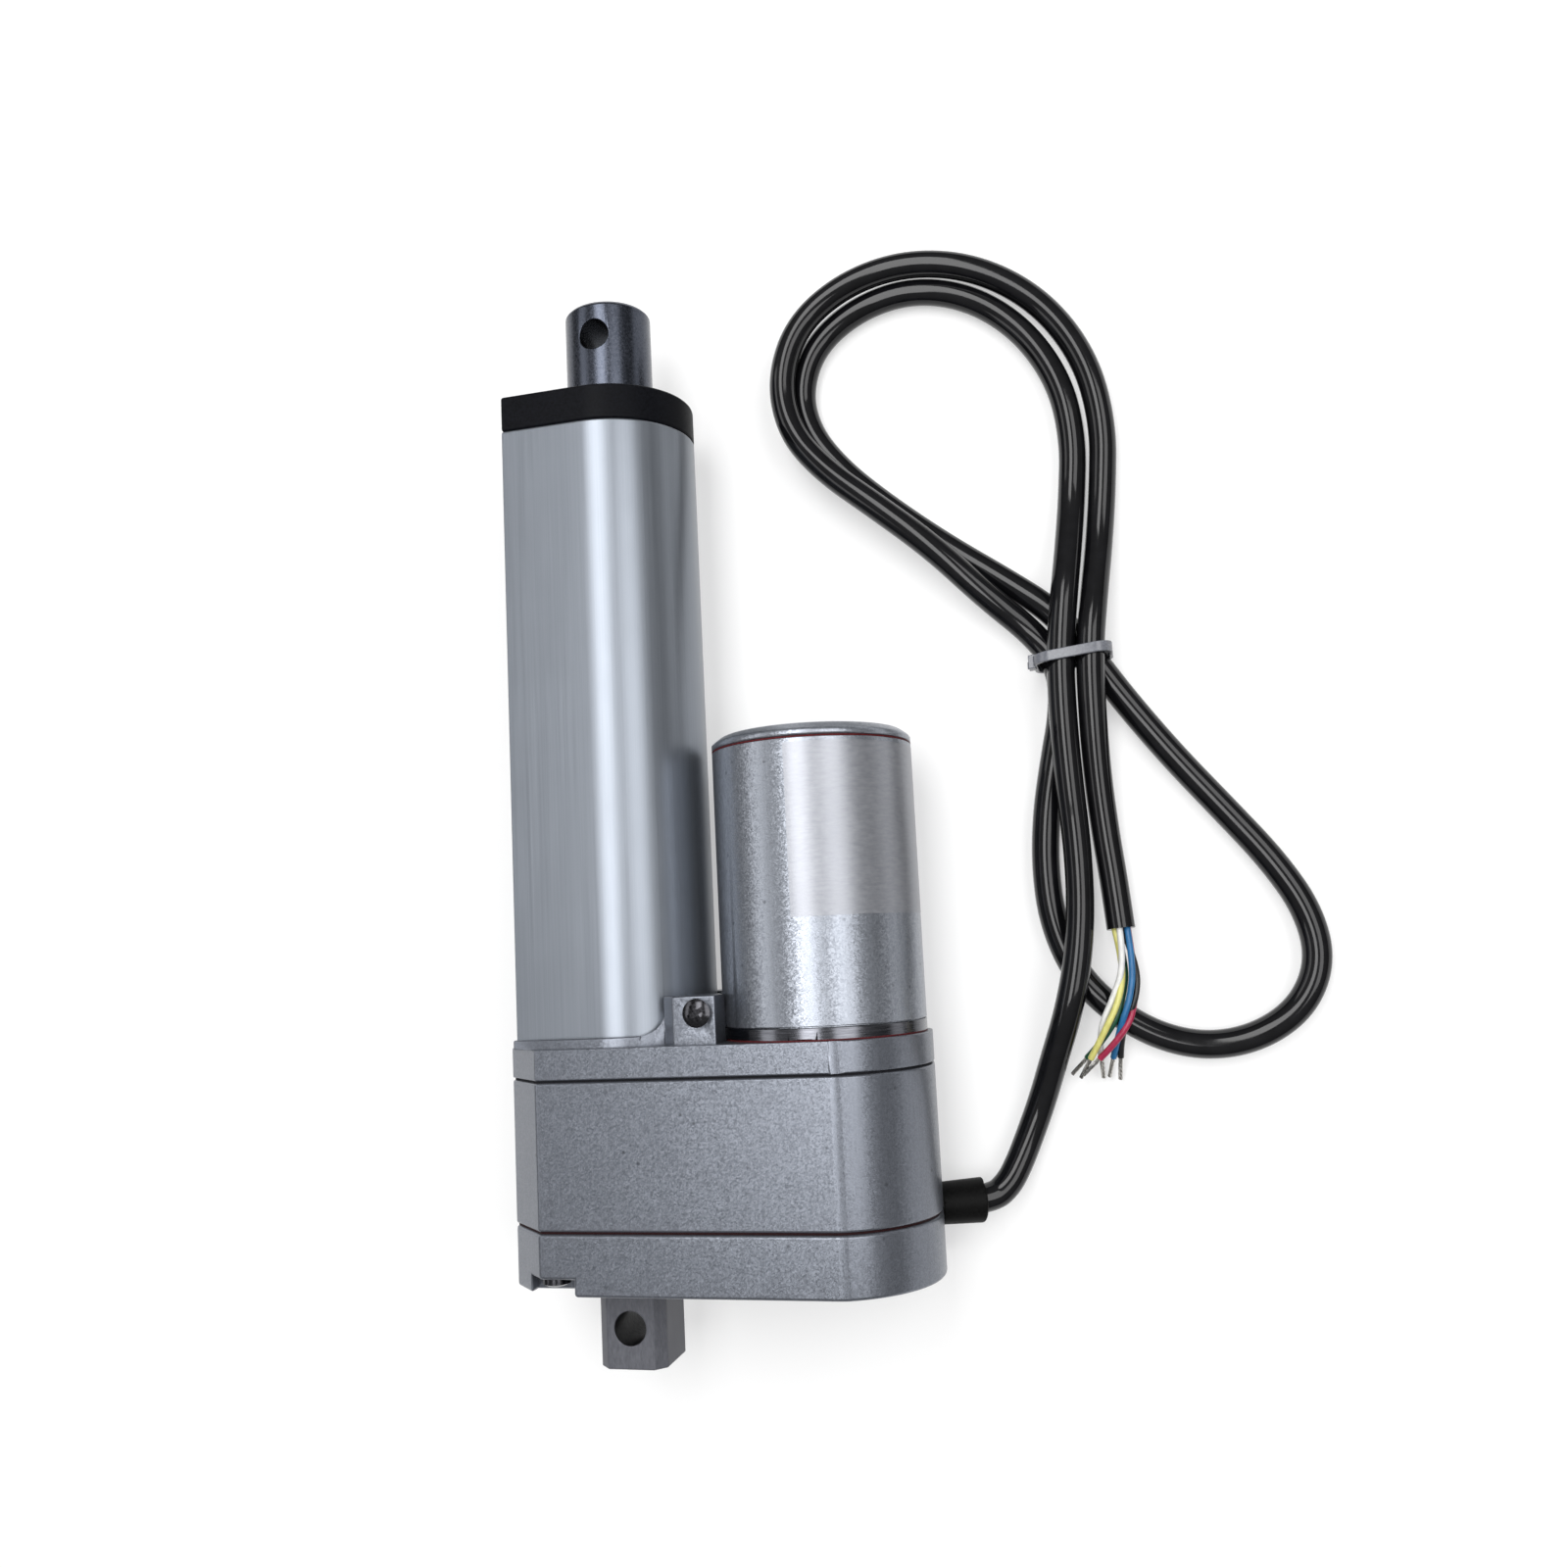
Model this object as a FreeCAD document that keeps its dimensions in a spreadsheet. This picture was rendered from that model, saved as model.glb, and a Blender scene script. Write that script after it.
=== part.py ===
import FreeCAD, Part
import math
import os
import re

import Sketcher
from FreeCAD import Placement, Rotation, Vector

# Electric linear actuator, in millimetres. The origin is the centre of the rear pivot hole.
# The rod runs out along +Y, the motor stands beside the tube on the +X side, and +Z is up.

# Driving dimensions
SIZES = {
    # Pivots and travel
    "stroke": 100.0,
    "dead_length": 105.0,
    "pin_hole_radius": 3.25,
    # Clearances
    "fit_gap": 0.05,
    "thread_gap": 0.06,
    "nut_gap": 0.3,
    "switch_gap": 0.3,
    # Rod
    "rod_radius": 9.25,
    "rod_wall": 2.0,
    "rod_overhang": 7.4,
    "rod_end_length": 25.4,
    "rod_spigot_length": 10.0,
    "rod_tip_chamfer": 0.8,
    # Tube and front cap
    "tube_radius": 17.8,
    "tube_wall": 2.3,
    "cap_length": 7.5,
    "cap_spigot_length": 10.0,
    "cap_mouth_gap": 0.4,
    "bush_wall": 1.7,
    "bush_length": 11.0,
    "wiper_wall": 2.2,
    "wiper_length": 3.0,
    "wiper_setback": 2.0,
    # Gearbox castings
    "box_half_depth": 20.5,
    "box_left": 21.8,
    "box_chamfer": 9.0,
    "round_end_bulge": 0.8,
    "gear_gap": 0.88,
    "cover_setback": 9.0,
    "cover_length": 11.9,
    "cover_floor": 5.2,
    "gear_housing_length": 28.5,
    "flange_length": 6.15,
    "gasket_thickness": 0.4,
    "gasket_inset": 0.5,
    "collar_length": 1.85,
    "collar_wall": 1.5,
    "collar_corner_wall": 0.4,
    "collar_fillet": 4.5,
    "boss_left": 12.4,
    "boss_width": 11.3,
    "boss_face": 18.2,
    "boss_floor": 7.0,
    "boss_height": 9.15,
    "boss_chamfer": 2.8,
    "boss_motor_gap": 0.6,
    "clamp_screw_x": 20.3,
    "clamp_screw_height": 5.95,
    "clamp_screw_length": 8.6,
    # Rear clevis
    "clevis_half_width": 7.0,
    "clevis_half_depth": 7.5,
    "clevis_overhang": 7.84,
    "clevis_chamfer": 2.2,
    "clevis_flange_lip": 3.0,
    "clevis_flange_thickness": 3.3,
    # Screws
    "screw_radius": 1.5,
    "screw_head_radius": 2.75,
    "screw_head_height": 1.9,
    "screw_dome_rise": 0.7,
    "screw_slot_width": 0.8,
    "screw_slot_reach": 1.65,
    "screw_slot_depth": 0.9,
    "post_radius": 3.4,
    "post_inset": 1.3,
    "post_angle": 60.0,
    "counterbore_depth": 3.0,
    "corner_screw_x": 11.0,
    "corner_notch_reach": 5.0,
    "corner_notch_depth": 3.2,
    "cover_screw_grip": 3.8,
    # Gear train
    "motor_module": 0.8,
    "motor_pinion_teeth": 10,
    "idler_wheel_teeth": 36,
    "motor_shift": 0.41,
    "screw_module": 1.0,
    "idler_pinion_teeth": 14,
    "screw_gear_teeth": 31,
    "screw_shift": 0.18,
    "backlash": 0.12,
    "pinion_length": 7.1,
    "pinion_end_gap": 0.4,
    "wheel_length": 5.2,
    "wheel_end_gap": 0.8,
    "idler_pinion_length": 10.4,
    "screw_gear_length": 8.0,
    "screw_gear_end_gap": 1.4,
    "axle_radius": 2.0,
    "axle_seat": 6.5,
    "axle_tip_seat": 3.0,
    "idler_post_radius": 5.0,
    "idler_post_gap": 1.5,
    # Lead screw, its gear seat and its bearing
    "shank_radius": 4.0,
    "thread_radius": 5.0,
    "thread_end_gap": 4.7,
    "shank_tail": 4.0,
    "ring_thickness": 0.8,
    "ring_wall": 2.0,
    "ring_groove": 0.5,
    "ring_gap": 0.2,
    "key_half_width": 1.0,
    "key_depth": 1.0,
    "key_rise": 1.2,
    "key_margin": 0.5,
    "bearing_outer_radius": 11.0,
    "bearing_width": 7.0,
    "bearing_ring_wall": 2.1,
    "bearing_floor": 2.1,
    "bearing_floor_hole": 7.0,
    "ball_radius": 2.0,
    "ball_count": 7,
    "ball_gap": 0.1,
    "retainer_wall": 1.5,
    "retainer_thickness": 1.0,
    # Drive nut
    "nut_length": 11.5,
    "nut_tab_rise": 0.55,
    "nut_tab_length": 6.0,
    "nut_tab_width": 4.0,
    "nut_socket": 6.0,
    "nut_rest_gap": 0.4,
    "nut_end_gap": 1.0,
    # Limit switches
    "board_thickness": 1.6,
    "board_half_width": 5.5,
    "board_side_gap": 0.5,
    "board_start_gap": 2.2,
    "board_overrun": 6.0,
    "switch_height": 2.5,
    "switch_half_width": 3.0,
    "switch_length": 7.0,
    "plunger_radius": 1.2,
    "plunger_length": 1.65,
    "plunger_standout": 1.0,
    "plunger_travel": 0.3,
    # Motor
    "motor_radius": 20.3,
    "sleeve_wall": 2.0,
    "sleeve_length": 54.7,
    "sleeve_groove_height": 0.2,
    "sleeve_groove_depth": 0.6,
    "base_gasket_thickness": 0.3,
    "base_ring_length": 2.2,
    "end_ring_thickness": 0.3,
    "end_cap_length": 2.78,
    "end_cap_chamfer": 2.0,
    "end_cap_bevel": 1.5,
    "end_cap_spigot": 1.4,
    "can_gap": 0.25,
    "can_wall": 1.2,
    "can_base": 1.6,
    "can_boss_radius": 6.4,
    "can_boss_length": 2.3,
    "bell_thickness": 2.0,
    "bell_spigot": 1.5,
    "motor_shaft_radius": 2.0,
    "bush_radius": 4.0,
    "motor_bush_length": 3.5,
    "magnet_thickness": 2.15,
    "magnet_angle": 140.0,
    "magnet_length": 34.0,
    "magnet_start": 10.5,
    "rotor_gap": 0.7,
    "core_length": 30.0,
    "core_start": 12.5,
    "core_slots": 5,
    "core_slot_width": 1.8,
    "core_slot_depth": 4.5,
    "winding_radius": 11.5,
    "winding_bore": 5.0,
    "winding_length": 4.5,
    "commutator_radius": 5.0,
    "commutator_length": 5.0,
    "commutator_gap": 0.5,
    "brush_holder_bore": 6.5,
    "brush_holder_thickness": 3.5,
    "brush_half_width": 2.0,
    "brush_half_height": 1.2,
    "brush_length": 7.0,
    "motor_screw_circle": 12.5,
    # Cable gland and cable
    "cable_radius": 2.85,
    "gland_angle": 25.0,
    "gland_neck_radius": 3.9,
    "gland_flange_radius": 5.0,
    "gland_flange_thickness": 1.5,
    "gland_root_radius": 4.1,
    "gland_mouth_radius": 4.4,
    "gland_length": 9.0,
    "gland_socket": 4.0,
    "cable_exit_run": 6.2,
    "wire_radius": 0.65,
    "wire_circle": 1.45,
    "wire_gap": 0.3,
    "wire_tip_radius": 0.45,
    "wire_tip_length": 5.0,
    # Cable tie
    "tie_left": 86.1,
    "tie_right": 102.3,
    "tie_floor": -19.45,
    "tie_top": -7.4,
    "tie_place": 129.5,
    "tie_width": 2.5,
    "tie_thickness": 1.0,
    "tie_corner": 2.0,
    "tie_head_length": 3.4,
    "tie_head_depth": 2.2,
    "tie_head_height": 4.2,
}

# Places that follow from the driving dimensions
PLACES = {
    "front_pivot": "dead_length + stroke",
    "rod_tip": "front_pivot + rod_overhang",
    "rod_joint": "rod_tip - rod_end_length",
    "rod_bore": "rod_radius - rod_wall",
    "bush_outer": "rod_radius + bush_wall",
    "wiper_outer": "rod_radius + wiper_wall",
    "round_end_radius": "box_half_depth + round_end_bulge",
    "cavity": "screw_module * (screw_gear_teeth / 2 + 1 - screw_shift) + gear_gap",
    "corner_screw_z": "(box_half_depth + sqrt(cavity ^ 2 - corner_screw_x ^ 2)) / 2",
    "post_circle": "cavity - post_inset",
    "seam_half": "gasket_thickness / 2",
    "cover_inside": "cover_setback + cover_floor",
    "rear_seam": "cover_setback + cover_length",
    "front_seam": "rear_seam + gear_housing_length",
    "flange_back": "front_seam + seam_half",
    "flange_front": "front_seam + flange_length",
    "collar_front": "flange_front + collar_length",
    "tube_bore": "tube_radius - tube_wall",
    "spigot_radius": "tube_bore - 4 * fit_gap",
    "idler_x": "screw_module * (idler_pinion_teeth + screw_gear_teeth) / 2",
    "motor_x": "idler_x + motor_module * (motor_pinion_teeth + idler_wheel_teeth) / 2",
    "post_x": "motor_x + post_circle * cos(post_angle)",
    "post_z": "post_circle * sin(post_angle)",
    "screw_hole": "screw_radius + fit_gap",
    "notch_floor": "cover_setback + corner_notch_depth",
    "screw_end": "front_seam + cover_screw_grip",
    "wheel_end": "front_seam - wheel_end_gap",
    "wheel_start": "wheel_end - wheel_length",
    "pinion_end": "front_seam - pinion_end_gap",
    "pinion_start": "pinion_end - pinion_length",
    "idler_start": "wheel_start - idler_pinion_length",
    "screw_gear_end": "wheel_start - screw_gear_end_gap",
    "screw_gear_start": "screw_gear_end - screw_gear_length",
    "screw_tail": "screw_gear_start - shank_tail",
    "axle_start": "idler_start - idler_post_gap - axle_seat",
    "bearing_start": "flange_back + bearing_floor",
    "bearing_end": "bearing_start + bearing_width",
    "retainer_start": "bearing_end + fit_gap",
    "spigot_front": "retainer_start + retainer_thickness + fit_gap",
    "ball_circle": "(shank_radius + bearing_outer_radius) / 2",
    "nut_start": "spigot_front + nut_rest_gap",
    "nut_end": "nut_start + nut_length",
    "rod_foot": "nut_end - nut_socket",
    "nut_radius": "tube_bore - nut_gap",
    "cap_spigot_end": "nut_end + stroke + nut_end_gap",
    "tube_end": "cap_spigot_end + cap_spigot_length",
    "cap_front": "tube_end + cap_length",
    "wiper_front": "cap_front - wiper_setback",
    "thread_end": "cap_spigot_end - thread_end_gap",
    "tab_middle": "nut_start + nut_length / 2",
    "board_back": "-tube_bore + fit_gap",
    "board_front": "board_back + board_thickness",
    "board_top": "tube_bore - board_side_gap",
    "board_middle": "board_top - board_half_width",
    "board_low": "board_middle - board_half_width",
    "switch_front": "board_front + switch_height",
    "plunger_tip": "switch_front + plunger_standout",
    "nut_flat": "-plunger_tip - switch_gap - nut_tab_rise",
    "sleeve_start": "flange_front + base_gasket_thickness + base_ring_length",
    "sleeve_end": "sleeve_start + sleeve_length",
    "end_cap_start": "sleeve_end + end_ring_thickness",
    "sleeve_bore": "motor_radius - sleeve_wall",
    "can_radius": "sleeve_bore - can_gap",
    "can_bore": "can_radius - can_wall",
    "bell_end": "end_cap_start - end_cap_spigot",
    "bell_start": "bell_end - bell_thickness",
    "can_inside": "flange_front + can_base",
    "magnet_bore": "can_bore - magnet_thickness",
    "core_radius": "magnet_bore - rotor_gap",
    "core_back": "flange_front + core_start",
    "core_front": "core_back + core_length",
    "commutator_start": "core_front + winding_length + commutator_gap",
    "brush_holder_end": "bell_start - bell_spigot",
    "brush_holder_start": "brush_holder_end - brush_holder_thickness",
    "brush_middle": "(brush_holder_start + brush_holder_end) / 2",
    "gland_seat": "sqrt(cavity ^ 2 - gland_flange_radius ^ 2) - fit_gap",
    "gland_end": "round_end_radius + gland_length",
    "cable_socket": "gland_end - gland_socket",
}

ALONG_Y = Rotation(Vector(1, 0, 0), -90)
ALONG_Z = Rotation()
DOWN_Z = Rotation(Vector(1, 0, 0), 180)
DOWN_Y = Rotation(Vector(1, 0, 0), 90)
UNDER_X = Rotation(Vector(0, 1, 0), -90)
PRESSURE_ANGLE = math.radians(20)
FLANK_STEPS = 4

document = FreeCAD.newDocument("LinearActuator")
sheet = document.addObject("Spreadsheet::Sheet", "Dims")
nodes = []


def fill_sheet():
    """Writes the driving dimensions as numbers and the places as formulas; returns a spare cell."""
    cells = {alias: str(size) for alias, size in SIZES.items()}
    cells.update({alias: "=" + formula for alias, formula in PLACES.items()})
    for row, (alias, content) in enumerate(cells.items(), start=1):
        sheet.set(f"A{row}", alias)
        sheet.set(f"B{row}", content)
        sheet.setAlias(f"B{row}", alias)
    document.recompute()
    return f"B{len(cells) + 2}"


SPARE_CELL = fill_sheet()


def size(alias):
    """The number behind a named size or place."""
    return float(sheet.get(alias))


def number(formula):
    """The value of a formula, worked out in the sheet's spare cell."""
    sheet.set(SPARE_CELL, "=" + formula)
    sheet.recompute()
    return float(sheet.get(SPARE_CELL))


def bound(formula):
    """The formula with each size pointing at its cell in the sheet."""
    def cell(word):
        name = word[0]
        return f"Dims.{name}" if name in SIZES or name in PLACES else name
    return re.sub(r"[a-z][a-z_]*", cell, formula)


def place(piece, spot, turn=ALONG_Z):
    """Turns a piece and ties its place to formulas for X, Y and Z."""
    piece.Placement = Placement(Vector(), turn)
    for axis, formula in zip("xyz", spot):
        piece.setExpression(f"Placement.Base.{axis}", bound(formula))
    return piece


def primitive(kind, sizes, spot, turn=ALONG_Z):
    """A Part primitive whose sizes and place are formulas."""
    piece = document.addObject(f"Part::{kind}", kind)
    for name, formula in sizes.items():
        piece.setExpression(name, bound(formula))
    return place(piece, spot, turn)


def turned(radius, start, end, x="0", z="0"):
    """A cylinder along Y from start to end."""
    sizes = {"Radius": radius, "Height": f"({end}) - ({start})"}
    return primitive("Cylinder", sizes, (x, start, z), ALONG_Y)


def taper(first_radius, last_radius, start, end, x="0", z="0"):
    """A cone along Y from start to end."""
    sizes = {"Radius1": first_radius, "Radius2": last_radius, "Height": f"({end}) - ({start})"}
    return primitive("Cone", sizes, (x, start, z), ALONG_Y)


def pin(radius, x, y, low, high):
    """A cylinder along Z from low to high."""
    return primitive("Cylinder", {"Radius": radius, "Height": f"({high}) - ({low})"}, (x, y, low))


def block(left, right, start, end, low, high):
    """A box between two places on each axis."""
    sizes = {"Length": f"({right}) - ({left})", "Width": f"({end}) - ({start})",
             "Height": f"({high}) - ({low})"}
    return primitive("Box", sizes, (left, start, low))


def fuse(*pieces):
    """One solid from pieces that meet."""
    joined = document.addObject("Part::MultiFuse", "Fuse")
    joined.Shapes = list(pieces)
    joined.Refine = True
    return joined


def cut(base, *tools):
    """The base with every tool taken out of it."""
    left = document.addObject("Part::Cut", "Cut")
    left.Base = base
    left.Tool = tools[0] if len(tools) == 1 else fuse(*tools)
    left.Refine = True
    return left


def common(first, second):
    """What two pieces share."""
    shared = document.addObject("Part::Common", "Common")
    shared.Base = first
    shared.Tool = second
    return shared


def group(*pieces):
    """Separate solids kept together as one node."""
    kept = document.addObject("Part::Compound", "Group")
    kept.Links = list(pieces)
    return kept


def ring(outer, inner, start, end, x="0", z="0"):
    """A plain ring along Y."""
    return cut(turned(outer, start, end, x, z), turned(inner, start, end, x, z))


def node(piece, label):
    """Names a finished sub-part, which is then written to a file of that name."""
    piece.Label = label
    nodes.append(piece)
    return piece


def prism(corners, start, end, centre=None):
    """An outline of (X, Z) corners padded along Y; with a centre, its first side is an arc about it."""
    body = document.addObject("PartDesign::Body", "Body")
    sketch = body.newObject("Sketcher::SketchObject", "Outline")
    plane = next(feature for feature in body.Origin.OriginFeatures if feature.Role == "XY_Plane")
    sketch.AttachmentSupport = [(plane, "")]
    sketch.MapMode = "FlatFace"
    spots = [Vector(number(x), number(z), 0) for x, z in corners]
    for index, here in enumerate(spots):
        there = spots[(index + 1) % len(spots)]
        if index == 0 and centre:
            middle = Vector(number(centre[0]), number(centre[1]), 0)
            circle = Part.Circle(middle, Vector(0, 0, 1), (here - middle).Length)
            angles = [math.atan2(spot.y - middle.y, spot.x - middle.x) for spot in (here, there)]
            sketch.addGeometry(Part.ArcOfCircle(circle, *angles))
        else:
            sketch.addGeometry(Part.LineSegment(here, there))
    for index in range(len(spots)):
        sketch.addConstraint(Sketcher.Constraint("Coincident", index, 2, (index + 1) % len(spots), 1))

    def hold(direction, geometry, point, formula):
        constraint = Sketcher.Constraint(direction, -1, 1, geometry, point, number(formula))
        index = sketch.addConstraint(constraint)
        sketch.setExpression(f"Constraints[{index}]", bound(formula))

    if centre:
        hold("DistanceX", 0, 3, centre[0])
        hold("DistanceY", 0, 3, centre[1])
    for index, (x, z) in enumerate(corners):
        hold("DistanceX", index, 1, x)
        if not (centre and index == 1):
            hold("DistanceY", index, 1, z)
    pad = body.newObject("PartDesign::Pad", "Pad")
    pad.Profile = sketch
    pad.setExpression("Length", bound(f"({end}) - ({start})"))
    return place(body, ("0", start, "0"), ALONG_Y)


def box_prism(inset, start, end):
    """The gearbox outline: chamfered corners on the left, a round end about the motor axis."""
    depth = f"(box_half_depth - {inset})"
    left = f"(box_left - {inset})"
    chamfer = f"(box_chamfer - {inset} * (2 - sqrt(2)))"
    round_end = f"motor_x + sqrt((round_end_radius - {inset}) ^ 2 - {depth} ^ 2)"
    corners = [
        (round_end, f"-{depth}"),
        (round_end, depth),
        (f"-{left} + {chamfer}", depth),
        (f"-{left}", f"{depth} - {chamfer}"),
        (f"-{left}", f"{chamfer} - {depth}"),
        (f"-{left} + {chamfer}", f"-{depth}"),
    ]
    return prism(corners, start, end, ("motor_x", "0"))


def tube_prism(offset, start, end):
    """The tube's D section, grown by an offset: round towards the motor, square on the far side."""
    reach = f"(tube_radius + {offset})"
    corners = [("0", f"-{reach}"), ("0", reach), (f"-{reach}", reach), (f"-{reach}", f"-{reach}")]
    return prism(corners, start, end, ("0", "0"))


def collar_prism(start, end):
    """The collar's outline: the tube's D section grown by a wall that thins towards the square corners."""
    reach = "(tube_radius + fit_gap + collar_wall)"
    corner = "(tube_radius + fit_gap + collar_corner_wall)"
    shoulder = "(box_left - box_chamfer)"
    corners = [
        ("0", f"-{reach}"), ("0", reach), (f"-{shoulder}", reach), (f"-{corner}", corner),
        (f"-{reach}", shoulder), (f"-{reach}", f"-{shoulder}"), (f"-{corner}", f"-{corner}"),
        (f"-{shoulder}", f"-{reach}"),
    ]
    return prism(corners, start, end, ("0", "0"))


def clevis_prism(offset, start, end):
    """The clevis section with its four long edges chamfered."""
    wide = f"(clevis_half_width + {offset})"
    deep = f"(clevis_half_depth + {offset})"
    corners = [
        (wide, f"clevis_chamfer - {deep}"), (wide, f"{deep} - clevis_chamfer"),
        (f"{wide} - clevis_chamfer", deep), (f"clevis_chamfer - {wide}", deep),
        (f"-{wide}", f"{deep} - clevis_chamfer"), (f"-{wide}", f"clevis_chamfer - {deep}"),
        (f"clevis_chamfer - {wide}", f"-{deep}"), (f"{wide} - clevis_chamfer", f"-{deep}"),
    ]
    return prism(corners, start, end)


def gear_cavity(start, end):
    """The hollow that the gears turn in."""
    return fuse(
        turned("cavity", start, end),
        turned("cavity", start, end, "motor_x"),
        block("0", "motor_x", start, end, "-cavity", "cavity"),
    )


CORNER_SCREWS = [("-corner_screw_x", "corner_screw_z"), ("-corner_screw_x", "-corner_screw_z")]
POST_SCREWS = [("post_x", "post_z"), ("post_x", "-post_z")]
MOTOR_SCREWS = [("motor_x", "motor_screw_circle"), ("motor_x", "-motor_screw_circle")]


def screw(length, spot, turn):
    """A pan-head cross-recess screw; its head stands on the seat at spot, and turn points the head."""
    dome = "(screw_head_radius ^ 2 + screw_dome_rise ^ 2) / (2 * screw_dome_rise)"
    head = common(
        pin("screw_head_radius", "0", "0", "0", "screw_head_height"),
        primitive("Sphere", {"Radius": dome}, ("0", "0", f"screw_head_height - {dome}")),
    )
    shank = pin("screw_radius", "0", "0", f"-({length})", "screw_dome_rise")
    half_slot = "screw_slot_width / 2"
    reach = "screw_slot_reach"
    floor = "screw_head_height - screw_slot_depth"
    slots = [
        block(f"-{reach}", reach, f"-{half_slot}", half_slot, floor, "screw_head_height"),
        block(f"-{half_slot}", half_slot, f"-{reach}", reach, floor, "screw_head_height"),
    ]
    return place(cut(fuse(head, shank), *slots), spot, turn)


def gear_wire(teeth, module, shift, facing):
    """A closed spur gear outline with straight steps along involute flanks; a tooth points at facing."""
    pitch = module * teeth / 2
    base = pitch * math.cos(PRESSURE_ANGLE)
    root = pitch - module * (1.25 - shift)
    tip = pitch + module * (1 + shift)
    thickness = module * (math.pi / 2 + 2 * shift * math.tan(PRESSURE_ANGLE)) - size("backlash") / 2

    def half_angle(radius):
        slope = math.acos(min(1, base / radius))
        involute = math.tan(slope) - slope
        return thickness / (2 * pitch) + math.tan(PRESSURE_ANGLE) - PRESSURE_ANGLE - involute

    foot = max(base, root)
    radii = [foot + (tip - foot) * step / FLANK_STEPS for step in range(FLANK_STEPS + 1)]
    flank = [(radius, half_angle(radius)) for radius in radii]
    if root < base:
        flank.insert(0, (root, half_angle(base)))
    tooth = [(radius, -angle) for radius, angle in flank] + [(radius, angle) for radius, angle in flank[::-1]]
    corners = []
    for index in range(int(teeth)):
        middle = facing + 2 * math.pi * index / teeth
        corners += [Vector(r * math.cos(middle + a), r * math.sin(middle + a), 0) for r, a in tooth]
    return Part.makePolygon(corners + corners[:1])


def gear_solid(teeth, module, shift, facing, start, end, x):
    """A gear along Y between two places, without its bore."""
    outline = gear_wire(size(teeth), size(module), shift, facing)
    length = number(f"({end}) - ({start})")
    gear = document.addObject("Part::Feature", "Gear")
    gear.Shape = Part.Face(outline).extrude(Vector(0, 0, length))
    return place(gear, (x, start, "0"), ALONG_Y)


def half_tooth(teeth):
    """Half a tooth's turn, which brings a space where a tooth would be."""
    return math.pi / size(teeth)


def route(points):
    """A path of straight runs and tangent arcs, each as large as its runs allow; also its radii."""
    edges = []
    radii = []
    here = points[0]
    for before, corner, after in zip(points, points[1:], points[2:]):
        arriving = (corner - before).normalize()
        leaving = (after - corner).normalize()
        turn = arriving.getAngle(leaving)
        setback = 0.45 * min((corner - before).Length, (after - corner).Length)
        radius = setback / math.tan(turn / 2)
        inward = (leaving - arriving).normalize()
        arc_start = corner - arriving * setback
        arc_end = corner + leaving * setback
        arc_middle = corner + inward * (radius / math.cos(turn / 2) - radius)
        edges.append(Part.LineSegment(here, arc_start).toShape())
        edges.append(Part.Arc(arc_start, arc_middle, arc_end).toShape())
        radii.append(radius)
        here = arc_end
    edges.append(Part.LineSegment(here, points[-1]).toShape())
    return Part.Wire(edges), radii


def cord(name, points, radius):
    """A round cord along its route, with its length, tightest bend and volume printed."""
    path, radii = route(points)
    section = Part.Wire([Part.Circle(points[0], points[1] - points[0], radius).toShape()])
    shell = path.makePipeShell([section], True, False)
    piece = document.addObject("Part::Feature", "Cord")
    piece.Shape = Part.Solid(shell) if shell.ShapeType == "Shell" else shell
    expected = math.pi * radius ** 2 * path.Length
    share = piece.Shape.Volume / expected
    print(f"{name}: length {path.Length:.1f}, volume {share:.4f} of section times length")
    print(f"{name}: bend radii", " ".join(f"{radius:.1f}" for radius in radii))
    return node(piece, name)


# Rod: a tube that the nut pushes, and the drilled end that shows
node(cut(
    turned("rod_radius", "rod_foot", "rod_joint"),
    turned("rod_bore", "rod_foot", "rod_joint"),
), "rod_tube")
node(cut(
    fuse(
        turned("rod_radius", "rod_joint", "rod_tip - rod_tip_chamfer"),
        taper("rod_radius", "rod_radius - rod_tip_chamfer", "rod_tip - rod_tip_chamfer", "rod_tip"),
        turned("rod_bore - fit_gap", "rod_joint - rod_spigot_length", "rod_joint"),
    ),
    pin("pin_hole_radius", "0", "front_pivot", "-2 * rod_radius", "2 * rod_radius"),
), "rod_end")

# Drive nut, flat where it passes the switch board, with a tab that passes the switch plungers
nut_round = cut(
    turned("nut_radius", "nut_start", "nut_end"),
    block("-2 * nut_radius", "-nut_flat", "nut_start", "nut_end", "board_low - nut_gap", "2 * nut_radius"),
)
nut_tab = block(
    "-nut_flat - nut_tab_rise", "-nut_flat",
    "tab_middle - nut_tab_length / 2", "tab_middle + nut_tab_length / 2",
    "board_middle - nut_tab_width / 2", "board_middle + nut_tab_width / 2",
)
node(cut(
    fuse(nut_round, nut_tab),
    turned("thread_radius + thread_gap", "nut_start", "nut_end"),
    turned("rod_radius + fit_gap", "rod_foot", "nut_end"),
), "drive_nut")

# Lead screw with its gear seat: keyway and two grooves for the retaining rings
RING_STARTS = ["screw_gear_start - ring_gap - ring_thickness", "screw_gear_end + ring_gap"]
key_floor = "shank_radius - key_depth"
key_top = "shank_radius + key_rise"
key_start = "screw_gear_start + key_margin"
key_end = "screw_gear_end - key_margin"
ring_bore = "shank_radius - ring_groove"
ring_grooves = [
    ring("shank_radius * 2", ring_bore, start, f"{start} + ring_thickness") for start in RING_STARTS
]
node(cut(
    fuse(turned("shank_radius", "screw_tail", "bearing_end"),
         turned("thread_radius", "bearing_end", "thread_end")),
    block("-key_half_width", "key_half_width", key_start, key_end, key_floor, "shank_radius * 2"),
    *ring_grooves,
), "lead_screw")
node(block("-key_half_width", "key_half_width", key_start, key_end, key_floor, key_top), "gear_key")
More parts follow.
